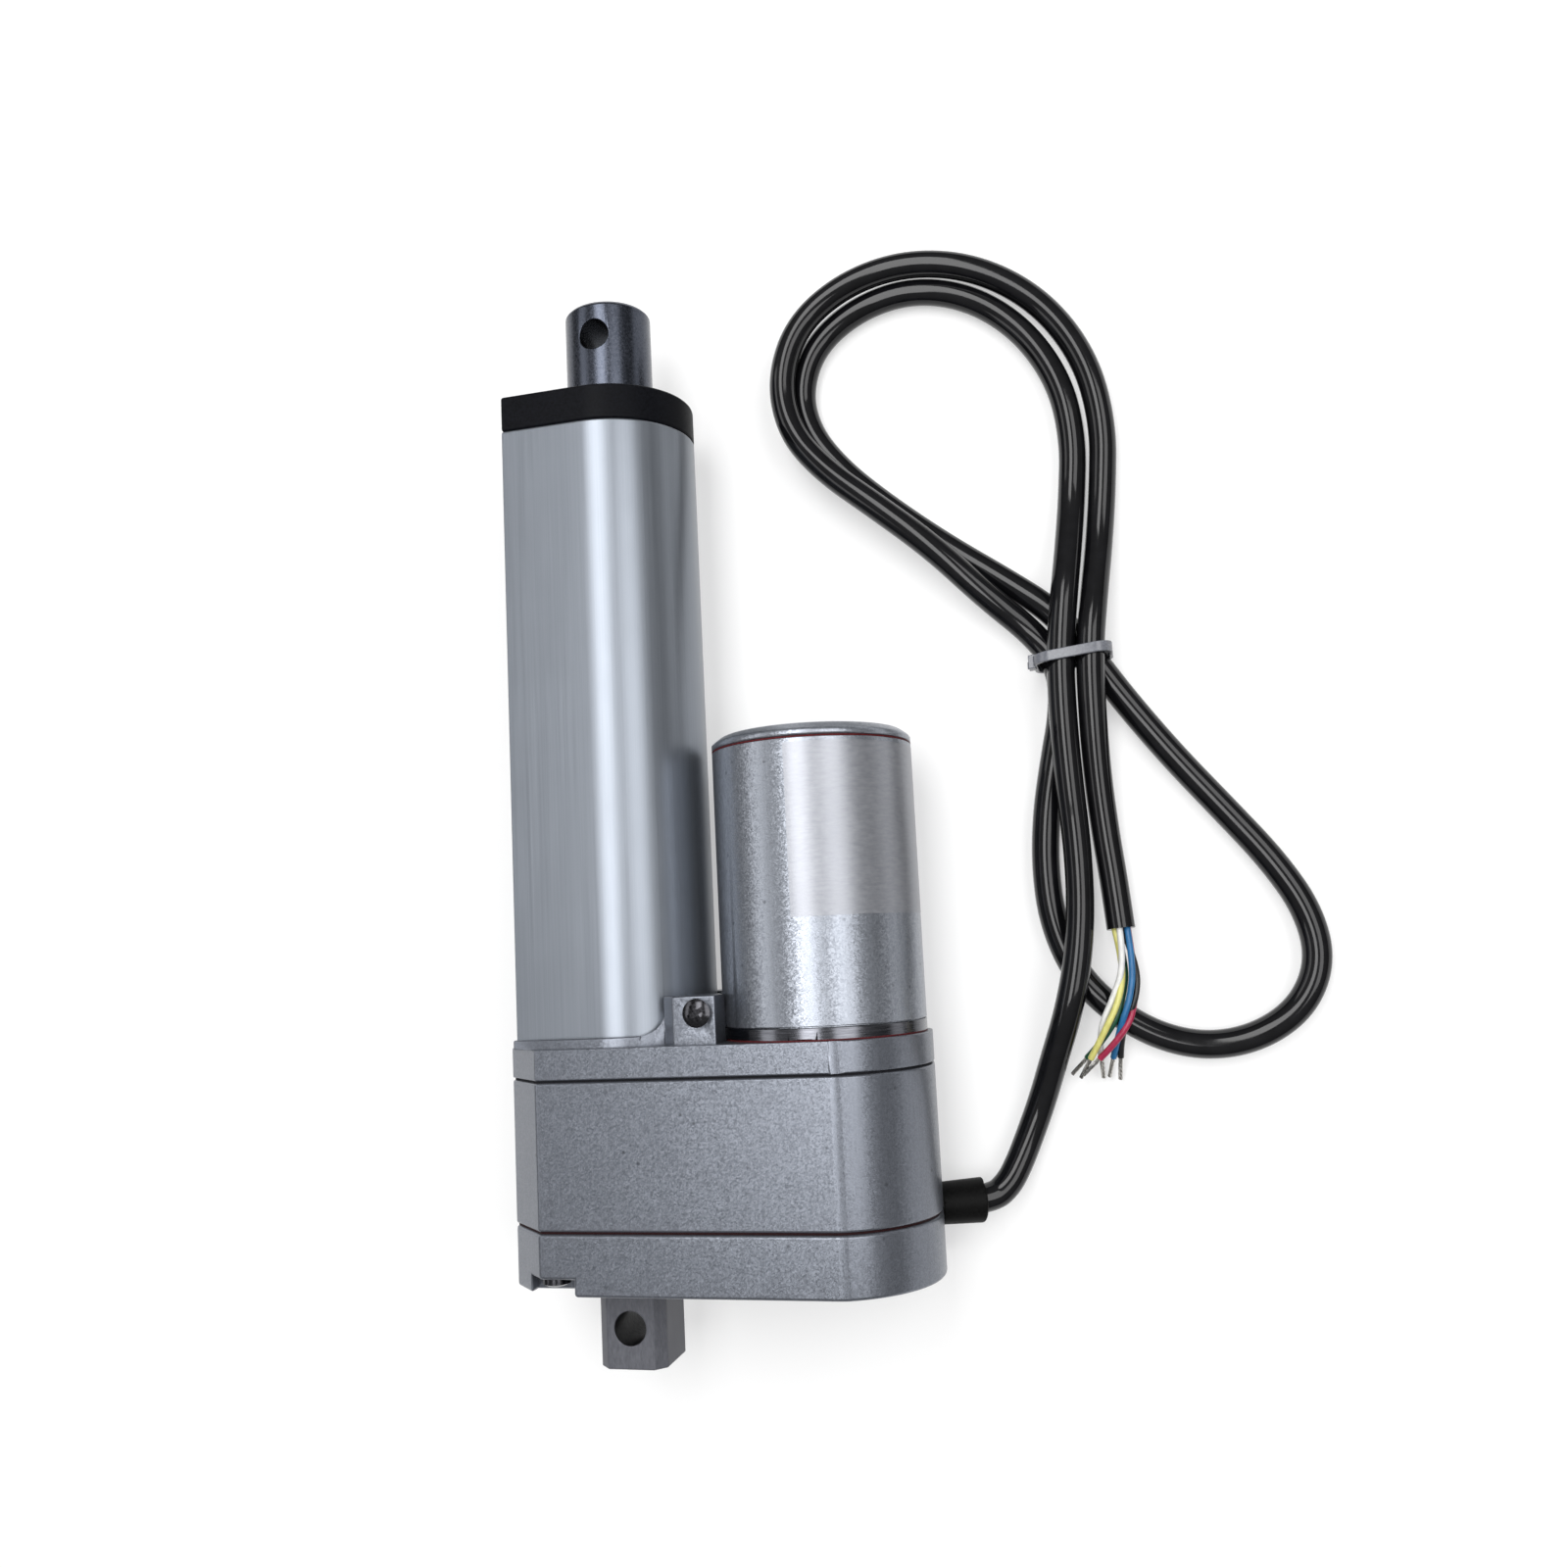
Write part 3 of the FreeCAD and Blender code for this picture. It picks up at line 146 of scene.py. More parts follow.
def reckon_vector(tree, operation, first, second):
    """A Vector Math node on two vectors or sockets; returns its result."""
    return add(tree, "ShaderNodeVectorMath", {0: first, 1: second}, operation=operation).outputs[0]


def scaled(tree, vector, factor):
    """A vector or a colour times a number."""
    return add(tree, "ShaderNodeVectorMath", {0: vector, "Scale": factor}, operation="SCALE").outputs[0]


def from_z_axis(tree, spot):
    """How far a place lies from the Z axis."""
    level = reckon_vector(tree, "MULTIPLY", spot, (1, 1, 0))
    return add(tree, "ShaderNodeVectorMath", {0: level}, operation="LENGTH").outputs["Value"]


def map_range(tree, value, source, target=(0.0, 1.0)):
    """A value carried over from one span to another; the spans' ends are numbers or sockets."""
    ends = {"From Min": source[0], "From Max": source[1], "To Min": target[0], "To Max": target[1]}
    return add(tree, "ShaderNodeMapRange", {"Value": value, **ends}).outputs[0]


def blend(tree, share, first, second):
    """A colour between two others."""
    mixed = {MIX_FACTOR: share, MIX_FIRST_COLOUR: first, MIX_SECOND_COLOUR: second}
    return add(tree, "ShaderNodeMix", mixed, data_type="RGBA").outputs[MIX_COLOUR_OUT]


def noise(tree, vector, scale, roughness=0.6):
    """Soft random values between 0 and 1."""
    return add(tree, "ShaderNodeTexNoise", {"Vector": vector, "Scale": scale, "Detail": NOISE_DETAIL,
                                            "Roughness": roughness}).outputs[0]


def object_place(tree):
    """Object coordinates, so that a pattern has its real size and stays put on the piece."""
    return add(tree, "ShaderNodeTexCoord").outputs["Object"]


# %% [markdown]
# ## Flake paint
# The castings and the motor are sprayed with silver paint, and its metal flakes lie at small random tilts.
# A picture of flakes could be wrapped round them, but it would need unwrapping and would blur close up.
# A Voronoi pattern gives each flake its own cell, and the cell's random colour sets its tone and its tilt.
# Long faint streaks and a few dark specks keep the paint from looking too even.

# %% Flake paint group: tone and tilt
flake_group, flake_in, flake_out = new_group(
    "flake_paint",
    {"Flake Size": "Float", "Tilt": "Float", "Dull": "Color", "Bright": "Color"},
    {"Color": "Color", "Roughness": "Float", "Normal": "Vector"})
here = object_place(flake_group)
flakes_per_metre = reckon(flake_group, "DIVIDE", 1.0, flake_in["Flake Size"])
flakes = add(flake_group, "ShaderNodeTexVoronoi", {"Vector": here, "Scale": flakes_per_metre}, feature="F1")
flake_colour = flakes.outputs["Color"]
centred = reckon_vector(flake_group, "SUBTRACT", flake_colour, (0.5, 0.5, 0.5))
lean = scaled(flake_group, centred, flake_in["Tilt"])
surface = add(flake_group, "ShaderNodeNewGeometry").outputs["Normal"]
tilted = reckon_vector(flake_group, "ADD", surface, lean)
flake_normal = add(flake_group, "ShaderNodeVectorMath", {0: tilted}, operation="NORMALIZE").outputs[0]
flake_parts = add(flake_group, "ShaderNodeSeparateColor", {0: flake_colour}).outputs
flake_tone = blend(flake_group, flake_parts[0], flake_in["Dull"], flake_in["Bright"])
print("flakes take", len(flake_group.nodes), "nodes")

# %% Flake paint group: streaks and specks
STREAKS_PER_METRE = (1800.0, 90.0, 1800.0)
STREAK_SHADES = (0.94, 1.05)
SPECKS_PER_METRE = 190.0
SPECK_RIM = (0.04, 0.09)
SPECK_SHADES = (0.6, 1.0)
FLAKE_GLOSS = (0.28, 0.38)
NOISE_SPAN = (0.3, 0.7)
streaks = noise(flake_group, reckon_vector(flake_group, "MULTIPLY", here, STREAKS_PER_METRE), scale=1.0)
streak_shade = map_range(flake_group, streaks, NOISE_SPAN, STREAK_SHADES)
specks = add(flake_group, "ShaderNodeTexVoronoi", {"Vector": here, "Scale": SPECKS_PER_METRE}, feature="F1")
speck_shade = map_range(flake_group, specks.outputs["Distance"], SPECK_RIM, SPECK_SHADES)
both_shades = reckon(flake_group, "MULTIPLY", streak_shade, speck_shade)
shaded_tone = scaled(flake_group, flake_tone, both_shades)
flake_gloss = map_range(flake_group, flake_parts[1], (0.0, 1.0), FLAKE_GLOSS)
put_out(flake_group, flake_out, Color=shaded_tone, Roughness=flake_gloss, Normal=flake_normal)
print("group", flake_group.name, "has", len(flake_group.nodes), "nodes")

# %% [markdown]
# ## Grain
# Drawn aluminium, ground steel, moulded plastic and rubber all have a fine grain, each with its own size.
# A bump alone would show in the highlights only, so the same noise also varies the colour and the gloss.
# The coordinates are divided by a size in X, Y and Z, so one long side stretches grain into drawn lines.

# %% Grain group
PATCHES_PER_METRE = 90.0
PATCH_SPAN = (0.1, 0.6)
grain_group, grain_in, grain_out = new_group(
    "grain",
    {"Grain Size": "Vector", "Dull": "Color", "Bright": "Color", "Smooth": "Float", "Rough": "Float"},
    {"Color": "Color", "Roughness": "Float", "Height": "Float"})
here = object_place(grain_group)
sized = reckon_vector(grain_group, "DIVIDE", here, grain_in["Grain Size"])
fine = noise(grain_group, sized, scale=1.0, roughness=0.65)
spread = map_range(grain_group, fine, NOISE_SPAN)
patches = noise(grain_group, here, PATCHES_PER_METRE)
blotches = reckon(grain_group, "MULTIPLY", spread, patches)
grain_tone = blend(grain_group, spread, grain_in["Dull"], grain_in["Bright"])
grain_gloss = map_range(grain_group, blotches, PATCH_SPAN, (grain_in["Smooth"], grain_in["Rough"]))
put_out(grain_group, grain_out, Color=grain_tone, Roughness=grain_gloss, Height=fine)
print("group", grain_group.name, "has", len(grain_group.nodes), "nodes")

# %% [markdown]
# ## Shade in the cross holes
# Little light reaches the wall of the cross holes in the rod and the clevis, so the holes look dark in life.
# A dark material on the wall would need its faces picked out by hand.
# Here a mask asks of each point how far it is from the hole's axis, and darkens what lies within the hole.

# %% Bore shade group
bore_group, bore_in, bore_out = new_group(
    "bore_shade",
    {"Color": "Color", "Centre": "Vector", "Radius": "Float", "Dark": "Color"},
    {"Color": "Color"})
from_centre = reckon_vector(bore_group, "SUBTRACT", object_place(bore_group), bore_in["Centre"])
inside = reckon(bore_group, "LESS_THAN", from_z_axis(bore_group, from_centre), bore_in["Radius"])
put_out(bore_group, bore_out, Color=blend(bore_group, inside, bore_in["Color"], bore_in["Dark"]))
print("group", bore_group.name, "has", len(bore_group.nodes), "nodes")

# %% [markdown]
# ## Makers of finishes
# A finish is a Principled shader that one of the groups feeds.
# Each material could be wired by hand, but a maker for each kind of finish keeps them alike and short.
# What is the same all over a surface is set on the shader's own sockets, because the export reads it there.

# %% Makers of finishes
BORE_RADIUS = 3.3
PLAIN_SPECULAR = 0.5


def new_finish(name, metallic, specular=PLAIN_SPECULAR):
    """A material with a Principled shader; constants go on the shader's own sockets."""
    finish = bpy.data.materials.new(name)
    finish.use_nodes = True
    shader = finish.node_tree.nodes["Principled BSDF"].inputs
    shader["Metallic"].default_value = metallic
    shader["Specular IOR Level"].default_value = specular
    return finish, finish.node_tree, shader


def flake_finish(name, dull, bright, flake, tilt, metallic):
    """Paint with metal flakes of a size in millimetres, each lying at its own small tilt."""
    finish, tree, shader = new_finish(name, metallic)
    paint = add(tree, "ShaderNodeGroup", node_tree=flake_group, links={
        "Flake Size": flake * MM, "Tilt": tilt, "Dull": (*dull, 1), "Bright": (*bright, 1)}).outputs
    tree.links.new(paint["Color"], shader["Base Color"])
    tree.links.new(paint["Roughness"], shader["Roughness"])
    tree.links.new(paint["Normal"], shader["Normal"])
    return finish


def grain_finish(name, dull, bright, size, gloss,
                 metallic=0.0, bump=0.2, depth=0.03, specular=PLAIN_SPECULAR):
    """Grain of a size in X, Y and Z and a depth, in millimetres, with gloss between two values."""
    finish, tree, shader = new_finish(name, metallic, specular)
    grain = add(tree, "ShaderNodeGroup", node_tree=grain_group, links={
        "Grain Size": Vector(size) * MM, "Dull": (*dull, 1), "Bright": (*bright, 1),
        "Smooth": gloss[0], "Rough": gloss[1]}).outputs
    relief = add(tree, "ShaderNodeBump",
                 {"Strength": bump, "Distance": depth * MM, "Height": grain["Height"]})
    tree.links.new(grain["Color"], shader["Base Color"])
    tree.links.new(grain["Roughness"], shader["Roughness"])
    tree.links.new(relief.outputs[0], shader["Normal"])
    return finish


def darken_bore(finish, centre, dark):
    """Puts the bore shade between a finish's colour and its shader."""
    tree = finish.node_tree
    base = tree.nodes["Principled BSDF"].inputs["Base Color"]
    shade = add(tree, "ShaderNodeGroup", node_tree=bore_group, links={
        "Color": base.links[0].from_socket, "Centre": Vector(centre) * MM, "Radius": BORE_RADIUS * MM,
        "Dark": (*dark, 1)})
    tree.links.new(shade.outputs["Color"], base)


# %% [markdown]
# ## Finishes: metals and paint
# The castings and the motor carry silver paint full of flakes that glitter where they face the light.
# The tube is drawn aluminium with a satin skin, so its grain is stretched along the tube.
# The rod is dark plated steel: smooth, with a fine grain left from grinding.
# One flat colour with one gloss would look like plastic, so each finish has two tones and a span of gloss.

# %% Metals and paint outside
FRONT_HOLE, REAR_HOLE = (0, 205, 0), (0, 0, 0)
WORKED = 0.01
silver_paint = flake_finish("silver_paint", (0.142, 0.153, 0.178), (0.178, 0.191, 0.22),
                            flake=0.25, tilt=0.08, metallic=0.75)
motor_paint = flake_finish("motor_paint", (0.235, 0.251, 0.285), (0.31, 0.33, 0.37),
                           flake=0.28, tilt=0.1, metallic=0.85)
anodised = grain_finish("anodised_tube", (0.205, 0.224, 0.254), (0.232, 0.252, 0.283),
                        (0.3, 50, 0.3), (0.32, 0.38), metallic=0.8, bump=0.05, depth=WORKED)
plated_rod = grain_finish("plated_rod", (0.042, 0.048, 0.063), (0.09, 0.098, 0.122),
                          (0.4, 0.6, 0.4), (0.24, 0.36), metallic=1.0, bump=0.25, depth=WORKED)
bare_casting = grain_finish("bare_casting", (0.085, 0.087, 0.1), (0.12, 0.123, 0.14),
                            (0.45, 1.6, 0.45), (0.4, 0.55), metallic=0.1, bump=0.3, depth=0.02, specular=0.2)
bright_ring = grain_finish("bright_ring", (0.07, 0.072, 0.082), (0.15, 0.153, 0.17),
                           (4, 0.2, 4), (0.16, 0.28), metallic=1.0, bump=0.1, depth=WORKED)
dark_screw = grain_finish("dark_screw", (0.03, 0.03, 0.034), (0.07, 0.07, 0.076),
                          (0.5, 0.5, 0.5), (0.14, 0.26), metallic=1.0, bump=0.15, depth=WORKED)
label_foil = grain_finish("label_foil", (0.26, 0.268, 0.295), (0.32, 0.328, 0.355),
                          (2, 0.6, 2), (0.34, 0.42), metallic=0.7, bump=0.05, depth=WORKED)
tinned_copper = grain_finish("tinned_copper", (0.42, 0.4, 0.37), (0.72, 0.71, 0.68),
                             (0.4, 0.4, 0.4), (0.18, 0.32), metallic=1.0)
darken_bore(plated_rod, FRONT_HOLE, (0.05, 0.055, 0.066))
darken_bore(bare_casting, REAR_HOLE, (0.004, 0.004, 0.005))
print("outer metals are ready, with holes darkened within", BORE_RADIUS, "mm")

# %% Metals inside
steel = grain_finish("machined_steel", (0.35, 0.35, 0.37), (0.5, 0.5, 0.52),
                     (2, 0.2, 2), (0.2, 0.36), metallic=1.0, bump=0.1, depth=WORKED)
can_steel = grain_finish("plated_can", (0.3, 0.3, 0.32), (0.42, 0.42, 0.44),
                         (0.6, 0.6, 0.6), (0.28, 0.42), metallic=1.0)
lamination = grain_finish("core_laminations", (0.12, 0.12, 0.13), (0.3, 0.3, 0.32),
                          (10, 0.5, 10), (0.35, 0.5), metallic=1.0)
copper = grain_finish("enamelled_copper", (0.4, 0.14, 0.05), (0.62, 0.24, 0.1),
                      (4, 0.4, 4), (0.25, 0.4), metallic=1.0)
bronze = grain_finish("sintered_bronze", (0.32, 0.2, 0.08), (0.45, 0.3, 0.14),
                      (0.4, 0.4, 0.4), (0.35, 0.55), metallic=1.0)
print("inner metals:", ", ".join(finish.name for finish in (steel, can_steel, lamination, copper, bronze)))

# %% [markdown]
# ## Finishes: plastics, rubber and insulation
# These are not metal, so their colour is their own, except the rear gasket's painted shade, and their gloss
# comes from the surface alone.
# A flat colour would do for that, but a faint grain keeps them from looking drawn by a computer.

# %% Plastics, rubber and insulation
SPECK = (0.5, 0.5, 0.5)
DULL = 0.06


def moulding(name, dull, bright, gloss, specular=PLAIN_SPECULAR):
    """Plastic or rubber with a faint, even grain."""
    return grain_finish(name, dull, bright, SPECK, gloss, specular=specular)


black_plastic = moulding("black_plastic", (0.002, 0.0022, 0.003), (0.006, 0.0065, 0.009), (0.42, 0.58), DULL)
gland_rubber = moulding("gland_rubber", (0.003, 0.003, 0.003), (0.007, 0.007, 0.007), (0.4, 0.55), DULL)
red_seal = moulding("red_seal", (0.05, 0.008, 0.01), (0.11, 0.018, 0.021), (0.4, 0.6), DULL)
# Painted shade: the rear gasket is the red seal darkened nearly to black, as if it lay in shadow under the
# cover.
painted_shade_seal = moulding("painted_shade_seal", (0.012, 0.004, 0.005), (0.026, 0.008, 0.009), (0.5, 0.7), DULL)
dark_gasket = moulding("dark_gasket", (0.006, 0.006, 0.008), (0.014, 0.014, 0.017), (0.6, 0.8), DULL)
tie_nylon = moulding("tie_nylon", (0.12, 0.126, 0.145), (0.17, 0.177, 0.2), (0.2, 0.3))
gear_nylon = moulding("gear_nylon", (0.62, 0.6, 0.52), (0.74, 0.72, 0.64), (0.4, 0.55))
nut_acetal = moulding("nut_acetal", (0.74, 0.74, 0.7), (0.84, 0.84, 0.8), (0.35, 0.5))
board_green = moulding("board_green", (0.02, 0.12, 0.05), (0.03, 0.17, 0.07), (0.3, 0.45))
plunger_red = moulding("plunger_red", (0.3, 0.02, 0.02), (0.42, 0.04, 0.03), (0.3, 0.45))
ferrite = moulding("ferrite", (0.02, 0.02, 0.022), (0.04, 0.04, 0.042), (0.5, 0.7))
jacket = grain_finish("cable_jacket", (0.003, 0.003, 0.0036), (0.006, 0.006, 0.0072),
                      (4, 4, 4), (0.08, 0.14), bump=0.05, depth=0.04, specular=0.35)
WIRE_TONES = {
    "blue": ((0.008, 0.1, 0.25), (0.015, 0.14, 0.33)),
    "white": ((0.6, 0.6, 0.58), (0.74, 0.74, 0.72)),
    "yellow": ((0.55, 0.52, 0.15), (0.7, 0.67, 0.22)),
    "green": ((0.008, 0.06, 0.03), (0.015, 0.09, 0.045)),
    "black": ((0.004, 0.004, 0.005), (0.01, 0.01, 0.011)),
    "red": ((0.27, 0.012, 0.045), (0.38, 0.02, 0.07)),
}
wire_finishes = {
    colour: grain_finish(f"wire_{colour}", *tones, (0.8, 2, 0.8), (0.28, 0.4))
    for colour, tones in WIRE_TONES.items()
}
print("plastic and rubber finishes are ready, with", len(wire_finishes), "wires")

# %% [markdown]
# ## Dressing the CAD pieces
# Most pieces are inside the actuator, and are seen when the rod is out or the housing is taken off.
# They could be copied and refined, but a CAD piece with the right shape keeps its mesh and gets a finish.

# %% Finishes for the CAD pieces
NODE_FINISHES = {
    plated_rod: ["rod_tube", "rod_end"],
    silver_paint: ["front_housing", "gear_housing", "rear_cover"],
    bare_casting: ["rear_clevis"],
    motor_paint: ["motor_sleeve", "motor_end_cap"],
    anodised: ["outer_tube"],
    bright_ring: ["motor_base_ring"],
    black_plastic: ["front_cap", "motor_end_bell", "brush_holder",
                    "lower_limit_switch", "upper_limit_switch"],
    red_seal: ["motor_end_ring", "motor_base_gasket"],
    painted_shade_seal: ["rear_gasket"],
    dark_gasket: ["front_gasket", "rod_wiper_seal", "brushes"],
    dark_screw: ["cover_screws", "tube_clamp_screws", "motor_screws"],
    steel: ["lead_screw", "gear_key", "gear_retaining_rings", "bearing_outer_ring", "bearing_inner_ring",
            "bearing_balls", "bearing_retainer", "motor_shaft", "motor_pinion", "idler_axle"],
    gear_nylon: ["screw_gear", "idler_gear"],
    nut_acetal: ["drive_nut"],
    bronze: ["rod_guide_bush", "motor_bushes"],
    board_green: ["limit_switch_board"],
    plunger_red: ["lower_switch_plunger", "upper_switch_plunger"],
    can_steel: ["motor_can"],
    ferrite: ["motor_magnets"],
    lamination: ["rotor_core"],
    copper: ["rotor_windings", "commutator"],
    gland_rubber: ["cable_gland"],
    jacket: ["cable"],
    tie_nylon: ["cable_tie"],
    tinned_copper: ["wire_tips"],
}
for colour, finish in wire_finishes.items():
    NODE_FINISHES[finish] = [f"wire_{colour}"]
dressed = 0
for finish, names in NODE_FINISHES.items():
    for name in names:
        nodes[name].data.materials.clear()
        nodes[name].data.materials.append(finish)
        dressed += 1
print("dressed", dressed, "of", len(nodes), "CAD pieces")

# %% [markdown]
# ## Cable
# One black cable leaves the gland, is folded double into two loops and is tied where its four runs cross.
# It could be a tube swept along straight runs and arcs, but that looks like bent wire.
# A NURBS spline through the route's points bends as a rubber cable does, with no kinks between points.
# The points are the CAD route's own, so the cable lies where its solid lies.

# %% Helpers for strands
SECTION_STEPS = 6


def spline_piece(name, spots, radius, finish, resolution):
    """A round strand along a NURBS spline whose control points are given in millimetres."""
    curve = bpy.data.curves.new(name, "CURVE")
    curve.dimensions = "3D"
    spline = curve.splines.new("NURBS")
    spline.points.add(len(spots) - 1)
    for point, spot in zip(spline.points, spots):
        point.co = (*(Vector(spot) * MM), 1)
    spline.order_u = 3
    spline.use_endpoint_u = True
    spline.resolution_u = resolution
    curve.bevel_depth = radius * MM
    curve.bevel_resolution = SECTION_STEPS
    curve.use_fill_caps = True
    curve.materials.append(finish)
    return new_object(name, curve)


def stand_in(piece, slot, *replaced, body="housing"):
    """Hangs a new piece on its body and hides the CAD pieces it stands for."""
    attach(piece, body)
    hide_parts(*replaced)


# %% Cable
FLOOR_Z = -17.55
CABLE_RADIUS = 2.85
CABLE_ROUTE = [
    (64.736, 20.9, -11.115), (70.355, 20.9, -13.735),
    (73.7, 23.6, -15.0), (76.0, 27.6, -16.0), (78.2, 32.4, -16.8), (81.3, 39.6, -17.0),
    (84.6, 48.5, -14.6), (88.1, 57.5, -11.6), (90.7, 67.5, -11.4), (92.0, 78.5, -13.6),
    (92.1, 91.0, -15.0), (91.5, 104.5, -12.4), (91.3, 117.5, -10.8), (91.7, 130.0, -10.3),
    (93.2, 141.5, -10.9), (94.8, 153.0, -14.2), (96.2, 164.5, -17.3), (97.4, 177.5), (95.4, 190.6),
    (88.4, 203.2), (77.6, 212.4), (65.0, 216.2), (52.4, 213.8), (42.4, 206.6), (38.7, 196.4),
    (40.4, 186.6), (46.8, 177.2), (56.4, 167.8), (68.6, 157.4), (81.0, 148.2), (90.8, 140.4),
    (97.2, 130.6, -16.1), (103.9, 120.0, -17.4), (112.3, 108.0), (121.4, 96.4), (129.6, 85.8),
    (135.4, 75.6), (137.0, 65.6), (133.0, 56.8), (124.8, 51.2), (115.0, 49.4), (105.4, 51.6),
    (96.6, 57.2), (89.6, 65.2), (85.9, 75.8), (85.2, 87.0), (86.2, 98.0), (88.4, 108.5),
    (91.0, 119.0, -17.2), (91.3, 128.0, -16.1), (86.4, 135.9, -17.2), (77.4, 144.2, -14.0),
    (67.0, 155.6, -11.8), (55.2, 166.2, -11.7), (44.2, 175.8, -12.2), (36.8, 185.8, -12.8),
    (35.0, 198.0, -12.9), (39.6, 210.2, -13.0), (51.0, 218.2, -13.4), (65.2, 220.8, -13.8),
    (79.8, 217.5, -14.8), (92.6, 208.6, -16.6), (101.0, 195.0, -17.4), (103.8, 179.8), (102.6, 165.5),
    (101.0, 153.0, -16.0), (99.2, 141.0, -12.2), (97.6, 129.5, -9.9), (97.2, 117.5, -11.8),
    (97.2, 105.0, -14.4), (97.9, 93.0, -16.4), (98.9, 82.5, -16.4), (99.5, 73.5, -15.6),
]
cable_spots = [spot if len(spot) == 3 else (*spot, FLOOR_Z) for spot in CABLE_ROUTE]
cable = spline_piece("cable_line", cable_spots, CABLE_RADIUS, jacket, resolution=10)
stand_in(cable, "cable_jacket", "cable")
print("cable has", len(cable_spots), "points")

# %% [markdown]
# ## Wires
# Six thin wires come out of the jacket's end, bow to the right and gather to the left.
# They could be scattered at random, but six are few enough to lay one by one, and then none cuts another.
# Each is a strand like the cable and wanders from station to station: the red one climbs over the others.
# The wires start a little inside the jacket, so that no gap shows.

# %% Wires
WIRE_RADIUS = 0.65
INSIDE_JACKET = 0.6
JACKET_END = Vector((99.5, 73.2, -15.6))
BUNDLE = [(0.0, 0.0, 0.0), (1.0, -6.7, 1.5), (0.3, -13.5, 3.1), (-2.5, -19.9, 3.0), (-6.2, -25.2, 0.1)]
WIRE_WANDER = {
    "blue": [(1.2, 0.8), (0.9, 1.3), (0.5, 1.1), (0.6, 0.2), (2.8, -0.6)],
    "white": [(-0.3, 1.4), (-0.8, 1.3), (-2.9, 0.2), (-3.4, -0.4), (0.4, -0.9)],
    "yellow": [(-1.3, 0.5), (-1.0, -0.05), (-1.5, 1.0), (-2.2, 0.9), (-1.6, 0.9)],
    "green": [(-1.2, -0.8), (-0.4, -1.2), (-0.9, -0.5), (-0.9, -0.3), (-2.4, -0.6)],
    "black": [(0.1, -1.4), (1.6, 0.0), (1.8, 0.3), (1.0, -1.2), (4.2, -0.7)],
    "red": [(1.3, -0.6), (0.9, -1.2), (1.6, -1.2), (2.2, 1.2), (0.2, 1.6)],
}
wires = {}
wire_ends = []
for colour, wander in WIRE_WANDER.items():
    spots = [JACKET_END + Vector((x + aside, y, z + above))
             for (x, y, z), (aside, above) in zip(BUNDLE, wander)]
    spots[0].y += INSIDE_JACKET
    wires[colour] = spline_piece(f"{colour}_wire", spots, WIRE_RADIUS, wire_finishes[colour], resolution=8)
    wire_ends.append((spots[-1], (spots[-1] - spots[-2]).normalized()))
    stand_in(wires[colour], f"wire_{colour}", f"wire_{colour}")
print("wires:", ", ".join(wires))

# %% [markdown]
# ## Geometry Nodes helpers
# Screws, strands and straps repeat or follow a rule, so Geometry Nodes make them.
# Each tree grows from a mesh of bare points that carry the way each copy faces.
# The result is kept as a plain mesh, because an export can't read a live tree.


# %% Helpers inside a tree
def new_tree(name, inputs):
    """A geometry tree with a Geometry socket each way and the named size sockets."""
    return new_group(name, {"Geometry": "Geometry", **inputs}, {"Geometry": "Geometry"}, "GeometryNodeTree")


def upward(tree, height):
    """A vector of some height along Z."""
    return add(tree, "ShaderNodeCombineXYZ", {"Z": height}).outputs[0]


def moved(tree, shape, place=(0, 0, 0), turn=(0, 0, 0)):
    """A shape, turned and then shifted."""
    return add(tree, "GeometryNodeTransform",
               {"Geometry": shape, "Translation": place, "Rotation": turn}).outputs[0]


def joined(tree, *shapes):
    """Several shapes as one."""
    join = add(tree, "GeometryNodeJoinGeometry")
    for shape in shapes:
        tree.links.new(shape, join.inputs[0])
    return join.outputs[0]


def close_tree(tree, points, shape, finish, group_out):
    """Ends a tree: a copy of the shape on every point, facing its own way, made real and coated."""
    way = add(tree, "GeometryNodeInputNamedAttribute", {"Name": "facing"}, data_type="FLOAT_VECTOR")
    turn = add(tree, "FunctionNodeAlignRotationToVector", {"Vector": way.outputs[0]}, axis="Z")
    copies = add(tree, "GeometryNodeInstanceOnPoints",
                 {"Points": points, "Instance": shape, "Rotation": turn.outputs[0]})
    real = add(tree, "GeometryNodeRealizeInstances", {"Geometry": copies.outputs[0]})
    coated = add(tree, "GeometryNodeSetMaterial", {"Geometry": real.outputs[0], "Material": finish})
    tree.links.new(coated.outputs[0], group_out.inputs[0])


# %% Helpers that run a tree
def as_plain_mesh(piece):
    """Swaps a piece's mesh for what its modifiers make of it."""
    graph = bpy.context.evaluated_depsgraph_get()
    result = bpy.data.meshes.new_from_object(piece.evaluated_get(graph))
    piece.modifiers.clear()
    piece.data = result


def grown(name, tree, spots, facing, sizes, sharp):
    """Runs a tree on points given in millimetres, and keeps the result as a mesh at the origin."""
    mesh = bpy.data.meshes.new(name)
    mesh.from_pydata([Vector(spot) * MM for spot in spots], [], [])
    way = mesh.attributes.new("facing", "FLOAT_VECTOR", "POINT")
    way.data.foreach_set("vector", [value for vector in facing for value in vector])
    piece = new_object(name, mesh)
    growth = piece.modifiers.new("growth", "NODES")
    growth.node_group = tree
    for item in tree.interface.items_tree:
        if item.in_out == "INPUT" and item.name in sizes:
            growth[item.identifier] = sizes[item.name]
    as_plain_mesh(piece)
    piece.data.shade_smooth()
    piece.data.set_sharp_from_angle(angle=math.radians(sharp))
    print(name, "has", len(piece.data.polygons), "faces")
    return piece


# %% [markdown]
# ## Bare wire tips
# Each wire ends in a few millimetres of tinned copper strands, twisted by hand.
# A plain rod could stand for them from afar, but light breaks on the twist, and that is what the eye sees.
# A spiral is one strand, six turned copies are a tip, and a tip sits on each wire's end.

